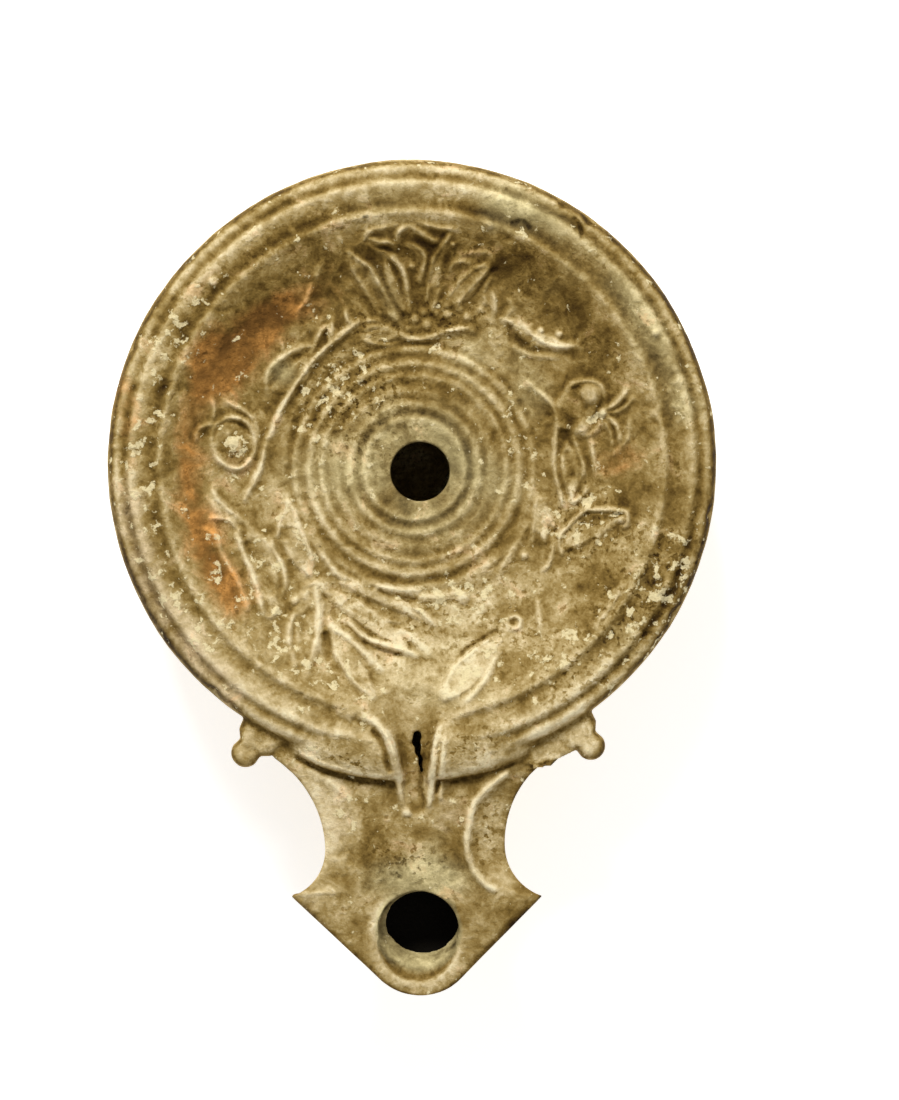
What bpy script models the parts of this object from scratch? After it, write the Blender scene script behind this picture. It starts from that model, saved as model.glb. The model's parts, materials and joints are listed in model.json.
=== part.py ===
"""A Roman oil lamp of fired clay, pressed in a two-part mould.

The lamp is one hollow vessel: a round bowl on a low base ring, a sunk discus with turned rings round the
filling hole and a fruit wreath round those, a stepped shoulder, two small knobs and a volute nozzle with
its wick hole. It stands on its base ring with +Z up. The origin is at the middle of the base's underside,
and the nozzle points to -Y. Lengths are in metres.
"""
import math

import bmesh
import bpy
from mathutils import Matrix

# Body
BODY_RADIUS = 0.0420
BODY_HEIGHT = 0.0280
WIDEST_DROP = 0.0060
BASE_RADIUS = 0.0205
BASE_RING_DEPTH = 0.0006
WALL = 0.0032

# Discus and shoulder
SHOULDER_WIDTH = 0.0073
DISCUS_DEPTH = 0.0041
SHOULDER_GROOVE = 0.0012
RINGS_RADIUS = 0.0170
RINGS_SHIFT_X = 0.0003
RINGS_SHIFT_Y = -0.0006
RING_HEIGHT = 0.0007
FILLING_HOLE_RADIUS = 0.0041
HOLE_SHIFT_X = 0.0011
HOLE_SHIFT_Y = -0.0010

# Nozzle, measured outwards from the body's edge
NOZZLE_REACH = 0.0313
NOZZLE_ROOT_WIDTH = 0.0380
NOZZLE_WAIST_WIDTH = 0.0248
NOZZLE_HORN_SPAN = 0.0346
WAIST_AT = 0.0108
HORN_AT = 0.0176
TIP_RADIUS = 0.0080
NOZZLE_LEAN = 0.038
NOZZLE_ROOT_DROP = 0.0028
NOZZLE_TIP_DROP = 0.0046
NOZZLE_TIP_DEPTH = 0.0084
WICK_HOLE_RADIUS = 0.0054
WICK_HOLE_INSET = 0.0090
WICK_CHAMFER = 0.0014

# Air slit and channel between discus and nozzle
CHANNEL_WIDTH = 0.0054
CHANNEL_CENTRE = 0.0004
CHANNEL_LENGTH = 0.0066
SLIT_WIDTH = 0.0011
SLIT_LENGTH = 0.0046

# Knobs at the ends of the shoulder
KNOB_RADIUS = 0.0020
KNOB_REACH = 0.0040
KNOB_HEIGHT = 0.0058
KNOB_DROP = 0.0024
KNOB_NECK = 0.0058
KNOB_ANGLES = (240.0, 302.4)
KNOB_SPLAY = 11.0

# Carving
RELIEF = 0.0006
RIB_RADIUS = 0.0005
SINK = 0.0009
SMALL_LEAF = 0.0060

# Heights above the base, which follow the body's top
WIDEST_HEIGHT = BODY_HEIGHT - WIDEST_DROP
NOZZLE_ROOT_TOP = BODY_HEIGHT - NOZZLE_ROOT_DROP
NOZZLE_TIP_TOP = BODY_HEIGHT - NOZZLE_TIP_DROP
NOZZLE_TIP_BOTTOM = NOZZLE_TIP_TOP - NOZZLE_TIP_DEPTH
KNOB_TOP = BODY_HEIGHT - KNOB_DROP

# Numbers of steps round the turned forms
BODY_STEPS = 52
RING_STEPS = 30
CHAMBER_STEPS = 30

# The wreath's places are drawn in millimetres on a discus of this radius, and follow the real one's size
DRAWN_DISCUS = 34.7
DISCUS_RADIUS = BODY_RADIUS - SHOULDER_WIDTH
DRAWN = DISCUS_RADIUS / DRAWN_DISCUS
DISCUS_FLOOR = BODY_HEIGHT - DISCUS_DEPTH
FLAT_RADIUS = RINGS_RADIUS + math.hypot(RINGS_SHIFT_X, RINGS_SHIFT_Y)

# Leaves of the wreath: base, tip, width and sideways bow
LEAVES = [
    (-1.9, 19.6, -8.5, 28.9, 2.3, 0.0),
    (-0.8, 20.6, -3.9, 29.3, 1.7, 0.6),
    (2.0, 22.2, 5.3, 31.0, 1.6, 0.5),
    (4.6, 21.4, 10.4, 27.5, 2.6, -0.4),
    (9.7, 20.6, 11.5, 27.8, 1.8, 0.5),
    (-2.4, 18.0, -6.8, 17.6, 2.0, 0.0),
    (12.8, 19.4, 22.4, 16.4, 2.6, -1.0),
    (-13.0, 16.4, -20.1, 9.6, 3.4, -0.9),
    (-13.2, 15.6, -11.8, 18.9, 1.3, 0.0),
    (-11.0, 18.4, -9.4, 21.6, 1.3, 0.0),
    (-22.7, -8.4, -19.2, -20.8, 2.9, 0.9),
    (-15.2, -16.6, -17.6, -4.9, 3.4, 0.6),
    (-14.7, -18.3, -15.3, -28.7, 3.8, 0.2),
    (-11.3, -22.0, -4.3, -32.9, 2.6, 0.2),
    (-11.7, -17.8, -1.1, -26.4, 2.7, 0.5),
    (-9.8, -16.6, -0.9, -23.4, 2.2, 0.7),
    (4.3, -32.6, 12.6, -24.0, 3.6, 0.5),
    (4.6, -28.6, 11.4, -22.4, 2.2, 0.4),
    (20.6, 2.4, 21.8, -5.6, 3.0, 0.2),
    (24.4, 2.6, 23.7, -5.6, 1.6, -0.5),
    (18.4, -12.6, 17.5, -4.6, 2.8, 0.0),
    (15.2, -21.4, 24.8, -15.0, 3.0, -0.6),
]

# Stems, petal ribs, sepals and bud edges: the points that each one runs through
RIBS = [
    [(-9.2, 18.5), (-12.9, 14.9), (-17.5, 8.8), (-20.1, 3.7)],
    [(-20.5, 1.2), (-21.6, -2.2), (-23.1, -4.7)],
    [(16.0, 11.6), (19.2, 8.0), (19.7, 2.6), (20.1, -2.2)],
    [(-2.2, 30.0), (-4.4, 30.7), (-6.4, 31.4), (-6.9, 30.2)],
    [(1.1, 24.6), (1.2, 28.0), (-0.8, 30.8), (-0.3, 32.6), (1.8, 31.8), (3.4, 30.8)],
    [(-1.9, 17.7), (1.8, 17.3), (6.2, 18.9), (9.6, 20.0)],
    [(5.4, 27.0), (6.4, 28.1), (7.5, 27.4)],
    [(-26.3, 8.9), (-23.3, 7.9), (-21.2, 5.3)],
    [(-27.5, 9.6), (-27.3, 6.6)],
    [(-29.8, 2.8), (-29.4, 5.4), (-27.2, 5.6)],
    [(26.2, 7.2), (28.2, 8.0), (29.7, 10.6)],
    [(26.6, 6.6), (28.5, 5.6), (28.7, 2.4)],
    [(26.2, 6.0), (27.6, 2.6)],
    [(-27.5, -3.5), (-25.9, -6.2), (-22.6, -8.2)],
    [(-28.6, -9.0), (-26.4, -11.6), (-24.0, -16.4)],
    [(18.3, -13.2), (21.1, -8.4), (24.4, -6.2), (28.6, -6.4), (29.4, -8.6)],
]

# Fruits: centre and radius
FRUITS = [(-24.4, 2.9, 3.4), (23.1, 7.4, 3.7)]

# Small berries and bosses: centre and radius
BERRIES = [(0.0, 27.0, 0.6), (1.8, 20.6, 0.7), (4.3, 19.9, 0.7), (-1.4, 19.0, 0.7), (14.2, -22.0, 1.0),
           (-14.6, -17.3, 1.0), (27.3, 6.4, 1.0), (6.8, 20.2, 0.7)]


def new_collection(name):
    """A new collection of the scene."""
    collection = bpy.data.collections.new(name)
    bpy.context.scene.collection.children.link(collection)
    return collection


def add_mesh(name, mesh, collection):
    """Puts a mesh in a collection as an object."""
    piece = bpy.data.objects.new(name, mesh)
    collection.objects.link(piece)
    return piece


def guide(piece):
    """Marks an object as a former or cutter that isn't part of the model."""
    piece.hide_render = True
    piece.display_type = "WIRE"
    return piece


def finish_mesh(name, bm, collection):
    """Closes a bmesh into a triangulated guide object with its faces pointing out."""
    bmesh.ops.recalc_face_normals(bm, faces=bm.faces)
    bmesh.ops.triangulate(bm, faces=bm.faces)
    mesh = bpy.data.meshes.new(name)
    bm.to_mesh(mesh)
    bm.free()
    return guide(add_mesh(name, mesh, collection))


def turned(name, profile, steps, collection, x=0.0, y=0.0):
    """Turns a profile of (radius, height) points, run from the top down its outer side, about Z."""
    mesh = bpy.data.meshes.new(name)
    points = [(radius, 0.0, height) for radius, height in profile]
    mesh.from_pydata(points, [(i, i + 1) for i in range(len(points) - 1)], [])
    piece = add_mesh(name, mesh, collection)
    piece.location = (x, y, 0.0)
    screw = piece.modifiers.new("turn", "SCREW")
    screw.steps = steps
    screw.render_steps = steps
    screw.use_merge_vertices = True
    screw.merge_threshold = 0.00001
    return piece


def loft(name, sections, collection):
    """Joins sections of equally many points into one closed form, capped at both ends."""
    bm = bmesh.new()
    loops = [[bm.verts.new(point) for point in section] for section in sections]
    for low, high in zip(loops, loops[1:]):
        for i in range(len(low)):
            j = (i + 1) % len(low)
            bm.faces.new((low[i], low[j], high[j], high[i]))
    bm.faces.new(loops[0])
    bm.faces.new(loops[-1])
    return finish_mesh(name, bm, collection)


def blend(start, end, share):
    """The value at a share of the way from start to end."""
    return start + (end - start) * share


def reading(stations, at):
    """The value at a place in a list of (place, value) stations, with straight lines between them."""
    if at <= stations[0][0]:
        return stations[0][1]
    for (low, low_value), (high, high_value) in zip(stations, stations[1:]):
        if at <= high:
            return blend(low_value, high_value, (at - low) / (high - low))
    return stations[-1][1]


def bowl(inset, steps):
    """The bowl's quarter ellipse from its widest place down to the base, set in by a wall."""
    wide = BODY_RADIUS - BASE_RADIUS - inset
    deep = WIDEST_HEIGHT - inset
    turns = [math.pi / 2 * (1 - i / steps) for i in range(steps + 1)]
    return [(BASE_RADIUS + wide * math.sin(t), WIDEST_HEIGHT - deep * math.cos(t)) for t in turns]


def discus_profile():
    """The discus from its flat middle up its hollow wall to just inside the bounding ridge."""
    points = [(FLAT_RADIUS - 0.002, DISCUS_FLOOR - RING_HEIGHT), (FLAT_RADIUS, DISCUS_FLOOR)]
    for share in (0.4, 0.7, 0.92):
        radius = blend(FLAT_RADIUS, DISCUS_RADIUS, share)
        points.append((radius, DISCUS_FLOOR + DISCUS_DEPTH * share ** 2.2))
    return points


def shoulder_profile():
    """The ridge, groove, convex band, groove and lip, from the discus out to the body's edge."""
    form = [(-0.03, 0.1), (0.06, 0.0), (0.15, 0.85), (0.28, 0.3), (0.53, 0.0), (0.68, 1.0),
            (0.79, 0.75), (0.9, 1.05), (0.97, 1.8), (1.0, 3.0)]
    return [(DISCUS_RADIUS + SHOULDER_WIDTH * out, BODY_HEIGHT - SHOULDER_GROOVE * drop) for out, drop in form]


def body_profile():
    """The whole outside of the turned body, from the middle of the discus to the middle of the base."""
    middle = [(0.0, DISCUS_FLOOR - RING_HEIGHT)]
    ring_width = 0.08 * BASE_RADIUS
    base = [(BASE_RADIUS - ring_width, 0.0), (BASE_RADIUS - 1.6 * ring_width, BASE_RING_DEPTH),
            (BASE_RADIUS - 2.2 * ring_width, 0.0), (0.0, 0.0)]
    return middle + discus_profile() + shoulder_profile() + bowl(0.0, 6) + base


def ring_profile():
    """The turned rings between the filling hole and the wreath, from the middle outwards."""
    form = [(0.0, 0.8), (0.36, 0.85), (0.406, 1.35), (0.453, 0.3), (0.523, 1.2), (0.576, 0.35), (0.632, 0.9),
            (0.7, 0.2), (0.747, 0.95), (0.797, 0.05), (0.85, 0.95), (0.906, -0.4), (0.955, 0.5),
            (0.985, 0.4), (1.01, -0.6), (0.98, -2.0), (0.0, -2.0)]
    return [(RINGS_RADIUS * out, DISCUS_FLOOR + RING_HEIGHT * rise) for out, rise in form]


def chamber_profile():
    """The oil chamber, one wall inside the body."""
    roof = DISCUS_FLOOR - RING_HEIGHT - WALL
    radius = BODY_RADIUS - WALL
    top = [(0.0, roof), (0.8 * DISCUS_RADIUS, roof), (DISCUS_RADIUS, WIDEST_HEIGHT + 0.3 * WALL)]
    return top + [(radius - 0.2 * WALL, WIDEST_HEIGHT + 0.3 * WALL)] + bowl(WALL, 4) + [(0.0, WALL)]


def discus_height(x, y):
    """The height of the plain discus under a point."""
    share = (math.hypot(x, y) - FLAT_RADIUS) / (DISCUS_RADIUS - FLAT_RADIUS)
    return DISCUS_FLOOR + DISCUS_DEPTH * max(0.0, share) ** 2.2


def nozzle_axis(out):
    """The sideways place of the nozzle's middle line, which leans a little to +X."""
    return NOZZLE_LEAN * out


def arc_half(waist, wide, run, away):
    """Half of a width that grows from a waist along a circle, reaching the wide half-width after a run."""
    rise = wide - waist
    radius = (run * run + rise * rise) / (2 * rise)
    return waist + radius - math.sqrt(radius * radius - min(away, radius) ** 2)


def nozzle_half(out):
    """Half the nozzle's width at a distance out from the body's edge."""
    waist = NOZZLE_WAIST_WIDTH / 2
    if out <= WAIST_AT:
        root_run = WAIST_AT + 0.035 * BODY_RADIUS
        away = min(WAIST_AT - out, root_run)
        return arc_half(waist, NOZZLE_ROOT_WIDTH / 2, root_run, away)
    if out <= HORN_AT:
        return arc_half(waist, NOZZLE_HORN_SPAN / 2, HORN_AT - WAIST_AT, out - WAIST_AT)
    centre = NOZZLE_REACH - TIP_RADIUS
    touch = centre + 0.66 * TIP_RADIUS
    if out <= touch:
        touch_half = TIP_RADIUS * math.sqrt(1 - 0.66 ** 2)
        return blend(NOZZLE_HORN_SPAN / 2, touch_half, (out - HORN_AT) / (touch - HORN_AT))
    return math.sqrt(max(TIP_RADIUS ** 2 - (out - centre) ** 2, 0.0))


def nozzle_top(out):
    """The height of the nozzle's flat top."""
    return blend(NOZZLE_ROOT_TOP, NOZZLE_TIP_TOP, max(0.0, out) / NOZZLE_REACH)


def nozzle_bottom(out):
    """The height of the nozzle's underside, which rises from the base to the tip."""
    form = [(-0.22, 0.47), (0.0, 0.54), (0.34, 0.65), (0.72, 0.79), (0.92, 0.9), (1.0, 1.05)]
    return NOZZLE_TIP_BOTTOM * reading(form, out / NOZZLE_REACH)


def nozzle_strip(out):
    """The width of the sunk strip outside the volute, as a share of the nozzle's half-width."""
    form = [(0.0, 0.2), (0.12, 0.33), (0.34, 0.4), (0.5, 0.36), (0.56, 0.1), (1.0, 0.1)]
    return nozzle_half(out) * reading(form, out / NOZZLE_REACH)


def nozzle_drop(out):
    """How far the strip outside the volute falls to the nozzle's edge."""
    form = [(0.0, 0.0006), (0.2, 0.0014), (0.4, 0.0016), (0.52, 0.0006), (0.6, 0.0004), (1.0, 0.0004)]
    return reading(form, out / NOZZLE_REACH)


def nozzle_section(out):
    """One cross-section of the solid nozzle, round from its underside."""
    half = nozzle_half(out)
    top = nozzle_top(out)
    bottom = nozzle_bottom(out)
    edge = top - nozzle_drop(out)
    flank = blend(bottom, edge, 0.55)
    side = [(0.25, bottom), (0.62, blend(bottom, edge, 0.15)), (0.9, flank), (1.0, edge - 0.0007),
            (0.98, edge), (1.0 - nozzle_strip(out) / half, top)]
    right = [(half * wide, height) for wide, height in side]
    left = [(-wide, height) for wide, height in reversed(right)]
    y = -(BODY_RADIUS + out)
    return [(nozzle_axis(out) + wide, y, height) for wide, height in right + left]


def nozzle_stations():
    """Distances out from the body's edge at which the nozzle's sections lie."""
    root = [NOZZLE_REACH * share for share in (-0.22, -0.1, -0.03)]
    neck = [HORN_AT * share for share in (0.07, 0.21, 0.35, 0.5, 0.64, 0.76, 0.87, 0.94, 1.0)]
    tip = [blend(HORN_AT, NOZZLE_REACH, share) for share in (0.22, 0.45, 0.66, 0.8, 0.9, 0.965, 0.995)]
    return root + neck + tip


def nozzle_hollow_section(out):
    """One cross-section of the channel inside the nozzle, a wall inside its surface."""
    top = nozzle_top(out) - WALL
    bottom = nozzle_bottom(out) + WALL
    slant = 1.0 if out < HORN_AT else 1.4
    half = min(nozzle_half(out) - slant * WALL, 0.75 * NOZZLE_WAIST_WIDTH / 2)
    side = [(0.7, bottom), (1.0, blend(bottom, top, 0.4)), (0.9, blend(bottom, top, 0.8)), (0.6, top)]
    right = [(half * wide, height) for wide, height in side]
    left = [(-wide, height) for wide, height in reversed(right)]
    y = -(BODY_RADIUS + out)
    return [(nozzle_axis(out) + wide, y, height) for wide, height in right + left]


def through(points, steps):
    """A smooth path through points, with a number of steps between each two of them."""
    padded = [points[0]] + list(points) + [points[-1]]
    path = []
    for p0, p1, p2, p3 in zip(padded, padded[1:], padded[2:], padded[3:]):
        for i in range(steps):
            t = i / steps
            path.append(tuple(
                0.5 * (2 * b + (c - a) * t + (2 * a - 5 * b + 4 * c - d) * t ** 2 + (3 * b - a - 3 * c + d) * t ** 3)
                for a, b, c, d in zip(p0, p1, p2, p3)))
    path.append(tuple(points[-1]))
    return path


def rib(name, path, radius, collection):
    """A raised rib along a path of (x, y, z) places on the surface, thinner at its ends."""
    curve = bpy.data.curves.new(name, "CURVE")
    curve.dimensions = "3D"
    curve.bevel_depth = radius
    curve.bevel_resolution = 0
    curve.use_fill_caps = True
    spline = curve.splines.new("POLY")
    spline.points.add(len(path) - 1)
    last = len(path) - 1
    for i, (point, (x, y, z)) in enumerate(zip(spline.points, path)):
        point.radius = 0.55 if i in (0, last) else 1.0
        point.co = (x, y, z + RELIEF - radius, 1.0)
    tube = bpy.data.objects.new(name, curve)
    collection.objects.link(tube)
    evaluated = tube.evaluated_get(bpy.context.evaluated_depsgraph_get())
    mesh = bpy.data.meshes.new_from_object(evaluated)
    bm = bmesh.new()
    bm.from_mesh(mesh)
    bmesh.ops.remove_doubles(bm, verts=bm.verts, dist=0.000001)
    bpy.data.meshes.remove(mesh)
    bpy.data.objects.remove(tube)
    return finish_mesh(name, bm, collection)


def ridge(name, path, radius, collection):
    """A ridge along a path of (x, y, z) places whose deep foot fills the grooves that it crosses."""
    sections = []
    for i, (x, y, z) in enumerate(path):
        before = path[max(i - 1, 0)]
        after = path[min(i + 1, len(path) - 1)]
        run = (after[0] - before[0], after[1] - before[1])
        length = math.hypot(run[0], run[1])
        across = (-run[1] / length, run[0] / length)
        form = [(-radius, z - 2 * SINK), (-radius, z), (-0.35 * radius, z + RELIEF),
                (0.35 * radius, z + RELIEF), (radius, z), (radius, z - 2 * SINK)]
        sections.append([(x + across[0] * side, y + across[1] * side, height) for side, height in form])
    return loft(name, sections, collection)


def wreath_rib(name, points, collection):
    """A rib of the wreath, drawn in millimetres and laid on the discus."""
    path = through([(x * DRAWN, y * DRAWN) for x, y in points], 2)
    return rib(name, [(x, y, discus_height(x, y)) for x, y in path], RIB_RADIUS, collection)


def wreath_leaf(name, spec, collection):
    """A hollow leaf with raised edges and a midrib, laid on the discus."""
    base_x, base_y, tip_x, tip_y, width, bow = [value * DRAWN for value in spec]
    length = math.hypot(tip_x - base_x, tip_y - base_y)
    along = ((tip_x - base_x) / length, (tip_y - base_y) / length)
    across = (-along[1], along[0])
    sections = []
    outline = [(0.0, 0.3), (0.2, 0.85), (0.5, 1.0), (0.78, 0.66), (1.0, 0.12)]
    if length < SMALL_LEAF:
        outline = [(0.0, 0.4), (0.35, 1.0), (1.0, 0.12)]
    for share, full in outline:
        half = 0.5 * width * full
        shift = 4 * bow * share * (1 - share)
        rim = RELIEF * (1.0 if 0.0 < share < 1.0 else 0.6)
        form = [(-1.3, -SINK), (-0.95, rim), (0.0, 0.3 * rim), (0.95, rim), (1.3, -SINK)]
        section = []
        for wide, rise in form:
            side = shift + wide * half
            x = base_x + along[0] * share * length + across[0] * side
            y = base_y + along[1] * share * length + across[1] * side
            section.append((x, y, discus_height(x, y) + rise))
        sections.append(section)
    return loft(name, sections, collection)


def dome(name, x, y, radius, form, steps, collection):
    """A small turned boss on the discus, from (share of radius, share of relief) points."""
    level = discus_height(x, y)
    profile = [(radius * out, level + RELIEF * rise) for out, rise in form]
    profile.append((radius, level - SINK))
    profile.append((0.0, level - SINK))
    return guide(turned(name, profile, steps, collection, x, y))


def add_wreath(collection):
    """Palmette, stems, leaves, buds, berries and the two fruits round the discus."""
    for number, spec in enumerate(LEAVES):
        wreath_leaf("leaf_%02d" % number, spec, collection)
    for number, points in enumerate(RIBS):
        wreath_rib("rib_%02d" % number, points, collection)
    ringed = [(0.0, 1.0), (0.5, 0.8), (0.72, 0.45), (0.88, 1.35), (1.0, 0.9)]
    for number, (x, y, radius) in enumerate(FRUITS):
        dome("fruit_%02d" % number, x * DRAWN, y * DRAWN, radius * DRAWN, ringed, 16, collection)
    round_form = [(0.0, 1.2), (0.7, 0.9)]
    for number, (x, y, radius) in enumerate(BERRIES):
        dome("berry_%02d" % number, x * DRAWN, y * DRAWN, radius * DRAWN, round_form, 7, collection)


def channel_half(out):
    """Half the channel's width at a distance out from the body's edge: it opens like a funnel to the discus."""
    form = [(-1.16, 4.0), (-0.95, 2.6), (-0.8, 1.8), (-0.58, 1.3), (-0.3, 1.1), (0.0, 1.0), (1.0, 0.68)]
    place = out / SHOULDER_WIDTH if out < 0.0 else out / CHANNEL_LENGTH
    return CHANNEL_WIDTH / 2 * reading(form, place)


def channel_places():
    """Distances out from the body's edge along the channel."""
    return [share * SHOULDER_WIDTH for share in (-1.16, -0.95, -0.8, -0.58, -0.3)] + [0.0, CHANNEL_LENGTH]


def channel_level(out):
    """The height on which the channel's side ribs stand."""
    inner = BODY_HEIGHT - 0.0002
    share = (out + SHOULDER_WIDTH) / (SHOULDER_WIDTH + CHANNEL_LENGTH)
    return blend(inner, nozzle_top(CHANNEL_LENGTH) + 0.0002, min(max(share, 0.0), 1.0) ** 0.8)


def add_channel_ribs(collection):
    """The two ridges that lead from the discus's bounding ridge to the nozzle."""
    for name, side in (("channel_rib_left", -1), ("channel_rib_right", 1)):
        path = []
        for out in channel_places():
            x = CHANNEL_CENTRE + nozzle_axis(max(out, 0.0)) + side * channel_half(out)
            path.append((x, -(BODY_RADIUS + out), channel_level(out)))
        ridge(name, through(path, 2), 1.3 * RIB_RADIUS, collection)


def add_volutes(collection):
    """The scroll ridge on each side of the nozzle's top, between shoulder and horn."""
    for name, side, rise in (("volute_left", -1, -0.0002), ("volute_right", 1, 0.0001)):
        path = []
        for share in (-0.02, 0.05, 0.12, 0.22, 0.34, 0.42, 0.5, 0.555):
            out = share * NOZZLE_REACH
            half = nozzle_half(out) - nozzle_strip(out)
            if share == 0.555:
                half = 0.74 * nozzle_half(out)
            path.append((nozzle_axis(out) + side * half, -(BODY_RADIUS + out), nozzle_top(out) + rise))
        ridge(name, path, 1.4 * RIB_RADIUS, collection)


def add_root_band(collection):
    """The lip's flat continuation over the nozzle's root."""
    inner = BODY_RADIUS - 0.27 * SHOULDER_WIDTH
    top = BODY_HEIGHT - 0.65 * SHOULDER_GROOVE
    spread = math.degrees(math.asin(0.44 * NOZZLE_ROOT_WIDTH / BODY_RADIUS))
    sections = []
    for i in range(9):
        end = i in (0, 8)
        angle = math.radians(270 + spread * (i - 4) / 4)
        outer = BODY_RADIUS + (0.08 if end else 0.23) * SHOULDER_WIDTH
        fall = 0.0012 if end else 0.0
        form = [(inner, top - WALL), (inner, top - fall - 0.0003), (inner + 0.0007, top - fall),
                (outer - 0.0006, top - fall - 0.0002), (outer, top - fall - 0.0009), (outer, top - WALL)]
        sections.append([(r * math.cos(angle), r * math.sin(angle), z) for r, z in form])
    return loft("root_band", sections, collection)


def add_knobs(collection):
    """The rounded knobs beside the nozzle's root: a tongue from the body with a round end."""
    places = zip(("knob_left", "knob_right"), KNOB_ANGLES, (-KNOB_SPLAY, KNOB_SPLAY))
    for name, degrees, splay in places:
        centre = math.radians(degrees)
        middle = ((BODY_RADIUS + KNOB_REACH) * math.cos(centre), (BODY_RADIUS + KNOB_REACH) * math.sin(centre))
        angle = math.radians(degrees + splay)
        outward = (math.cos(angle), math.sin(angle))
        across = (-outward[1], outward[0])
        sections = []
        for full, share in ((0.6, 0.0), (0.9, 0.18), (1.0, 0.45), (0.95, 0.8), (0.7, 1.0)):
            radius = KNOB_RADIUS * full
            neck = 0.5 * KNOB_NECK * full
            outline = [(-KNOB_REACH - 0.8 * WALL, -1.5 * neck), (-0.5 * KNOB_REACH, -neck)]
            for i in range(7):
                turn = math.pi * (i / 6 - 0.5)
                outline.append((radius * math.cos(turn), radius * math.sin(turn)))
            outline += [(-0.5 * KNOB_REACH, neck), (-KNOB_REACH - 0.8 * WALL, 1.5 * neck)]
            z = KNOB_TOP - KNOB_HEIGHT * (1 - share)
            sections.append([(middle[0] + outward[0] * out + across[0] * side,
                              middle[1] + outward[1] * out + across[1] * side, z) for out, side in outline])
        loft(name, sections, collection)


def add_channel_cutter(collection):
    """The open channel that runs from the discus through the shoulder on to the nozzle."""
    sections = []
    floor = DISCUS_FLOOR + 0.3 * DISCUS_DEPTH
    for out in channel_places():
        half = channel_half(out) - 0.4 * RIB_RADIUS
        x = CHANNEL_CENTRE + nozzle_axis(max(out, 0.0))
        y = -(BODY_RADIUS + out)
        low = min(floor, nozzle_top(out) - 0.0006) if out > -SHOULDER_WIDTH else floor
        high = BODY_HEIGHT + 0.002
        sections.append([(x - half, y, high), (x - half, y, low + 0.0004), (x - 0.6 * half, y, low),
                         (x + 0.6 * half, y, low), (x + half, y, low + 0.0004), (x + half, y, high)])
    return loft("channel", sections, collection)


def upright(name, radius, low, high, x, y, steps, collection, widen=1.0):
    """An upright cylinder, or a cone that widens towards its top."""
    bm = bmesh.new()
    bmesh.ops.create_cone(bm, cap_ends=True, segments=steps, radius1=radius, radius2=radius * widen,
                          depth=high - low)
    bmesh.ops.translate(bm, verts=bm.verts, vec=(x, y, (low + high) / 2))
    return finish_mesh(name, bm, collection)


def add_holes(collection):
    """Filling hole, wick hole with its worn chamfer, and the air slit."""
    above = BODY_HEIGHT + 0.003
    inside = DISCUS_FLOOR - RING_HEIGHT - 2 * WALL
    upright("filling_hole", FILLING_HOLE_RADIUS, inside, above, HOLE_SHIFT_X, HOLE_SHIFT_Y, 24, collection)
    out = NOZZLE_REACH - WICK_HOLE_INSET
    x = nozzle_axis(out)
    y = -(BODY_RADIUS + out)
    top = nozzle_top(out)
    upright("wick_hole", WICK_HOLE_RADIUS, top - 1.6 * WALL, above, x, y, 28, collection)
    upright("wick_chamfer", WICK_HOLE_RADIUS - 0.0002, top - WICK_CHAMFER, top + WICK_CHAMFER / 2,
            x, y - 0.6 * WICK_CHAMFER, 28, collection, 1.35)
    slit_y = -(BODY_RADIUS - 0.42 * SHOULDER_WIDTH)
    slit = upright("air_slit", SLIT_WIDTH / 2, inside, above, 0.0, 0.0, 10, collection)
    slit.data.transform(Matrix.Diagonal((1.0, SLIT_LENGTH / SLIT_WIDTH, 1.0, 1.0)))
    slit.location = (CHANNEL_CENTRE, slit_y, 0.0)


def fired_clay():
    """Olive-beige fired clay, dull and a little worn."""
    material = bpy.data.materials.new("fired_clay")
    material.use_nodes = True
    shader = material.node_tree.nodes["Principled BSDF"]
    shader.inputs["Base Color"].default_value = (0.32, 0.24, 0.13, 1.0)
    shader.inputs["Roughness"].default_value = 0.8
    shader.inputs["Metallic"].default_value = 0.0
    return material


def boolean(piece, operation, collection):
    """Joins a collection of formers to a piece, or cuts a collection of cutters from it."""
    modifier = piece.modifiers.new(collection.name, "BOOLEAN")
    modifier.operation = operation
    modifier.operand_type = "COLLECTION"
    modifier.collection = collection
    modifier.solver = "EXACT"


def build():
    """The lamp, joined and hollowed in one piece."""
    for old in list(bpy.data.objects):
        bpy.data.objects.remove(old)
    lamp = new_collection("roman_oil_lamp")
    forms = new_collection("forms")
    hollows = new_collection("hollows")
    raised = new_collection("raised")
    holes = new_collection("holes")

    vessel = turned("oil_lamp", body_profile(), BODY_STEPS, lamp)
    vessel.data.materials.append(fired_clay())

    guide(turned("turned_rings", ring_profile(), RING_STEPS, forms, RINGS_SHIFT_X, RINGS_SHIFT_Y))
    loft("nozzle", [nozzle_section(out) for out in nozzle_stations()], forms)
    add_root_band(forms)
    add_knobs(forms)

    add_channel_cutter(hollows)
    guide(turned("chamber", chamber_profile(), CHAMBER_STEPS, hollows))
    hollow_end = NOZZLE_REACH - WICK_HOLE_INSET + 0.85 * WICK_HOLE_RADIUS
    hollow_places = [hollow_end * share for share in (-0.28, 0.0, 0.2, 0.4, 0.6, 0.8, 0.92, 1.0)]
    loft("nozzle_hollow", [nozzle_hollow_section(out) for out in hollow_places], hollows)

    add_wreath(raised)
    add_channel_ribs(raised)
    add_volutes(raised)
    add_holes(holes)

    boolean(vessel, "UNION", forms)
    boolean(vessel, "DIFFERENCE", hollows)
    boolean(vessel, "UNION", raised)
    boolean(vessel, "DIFFERENCE", holes)


build()
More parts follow.
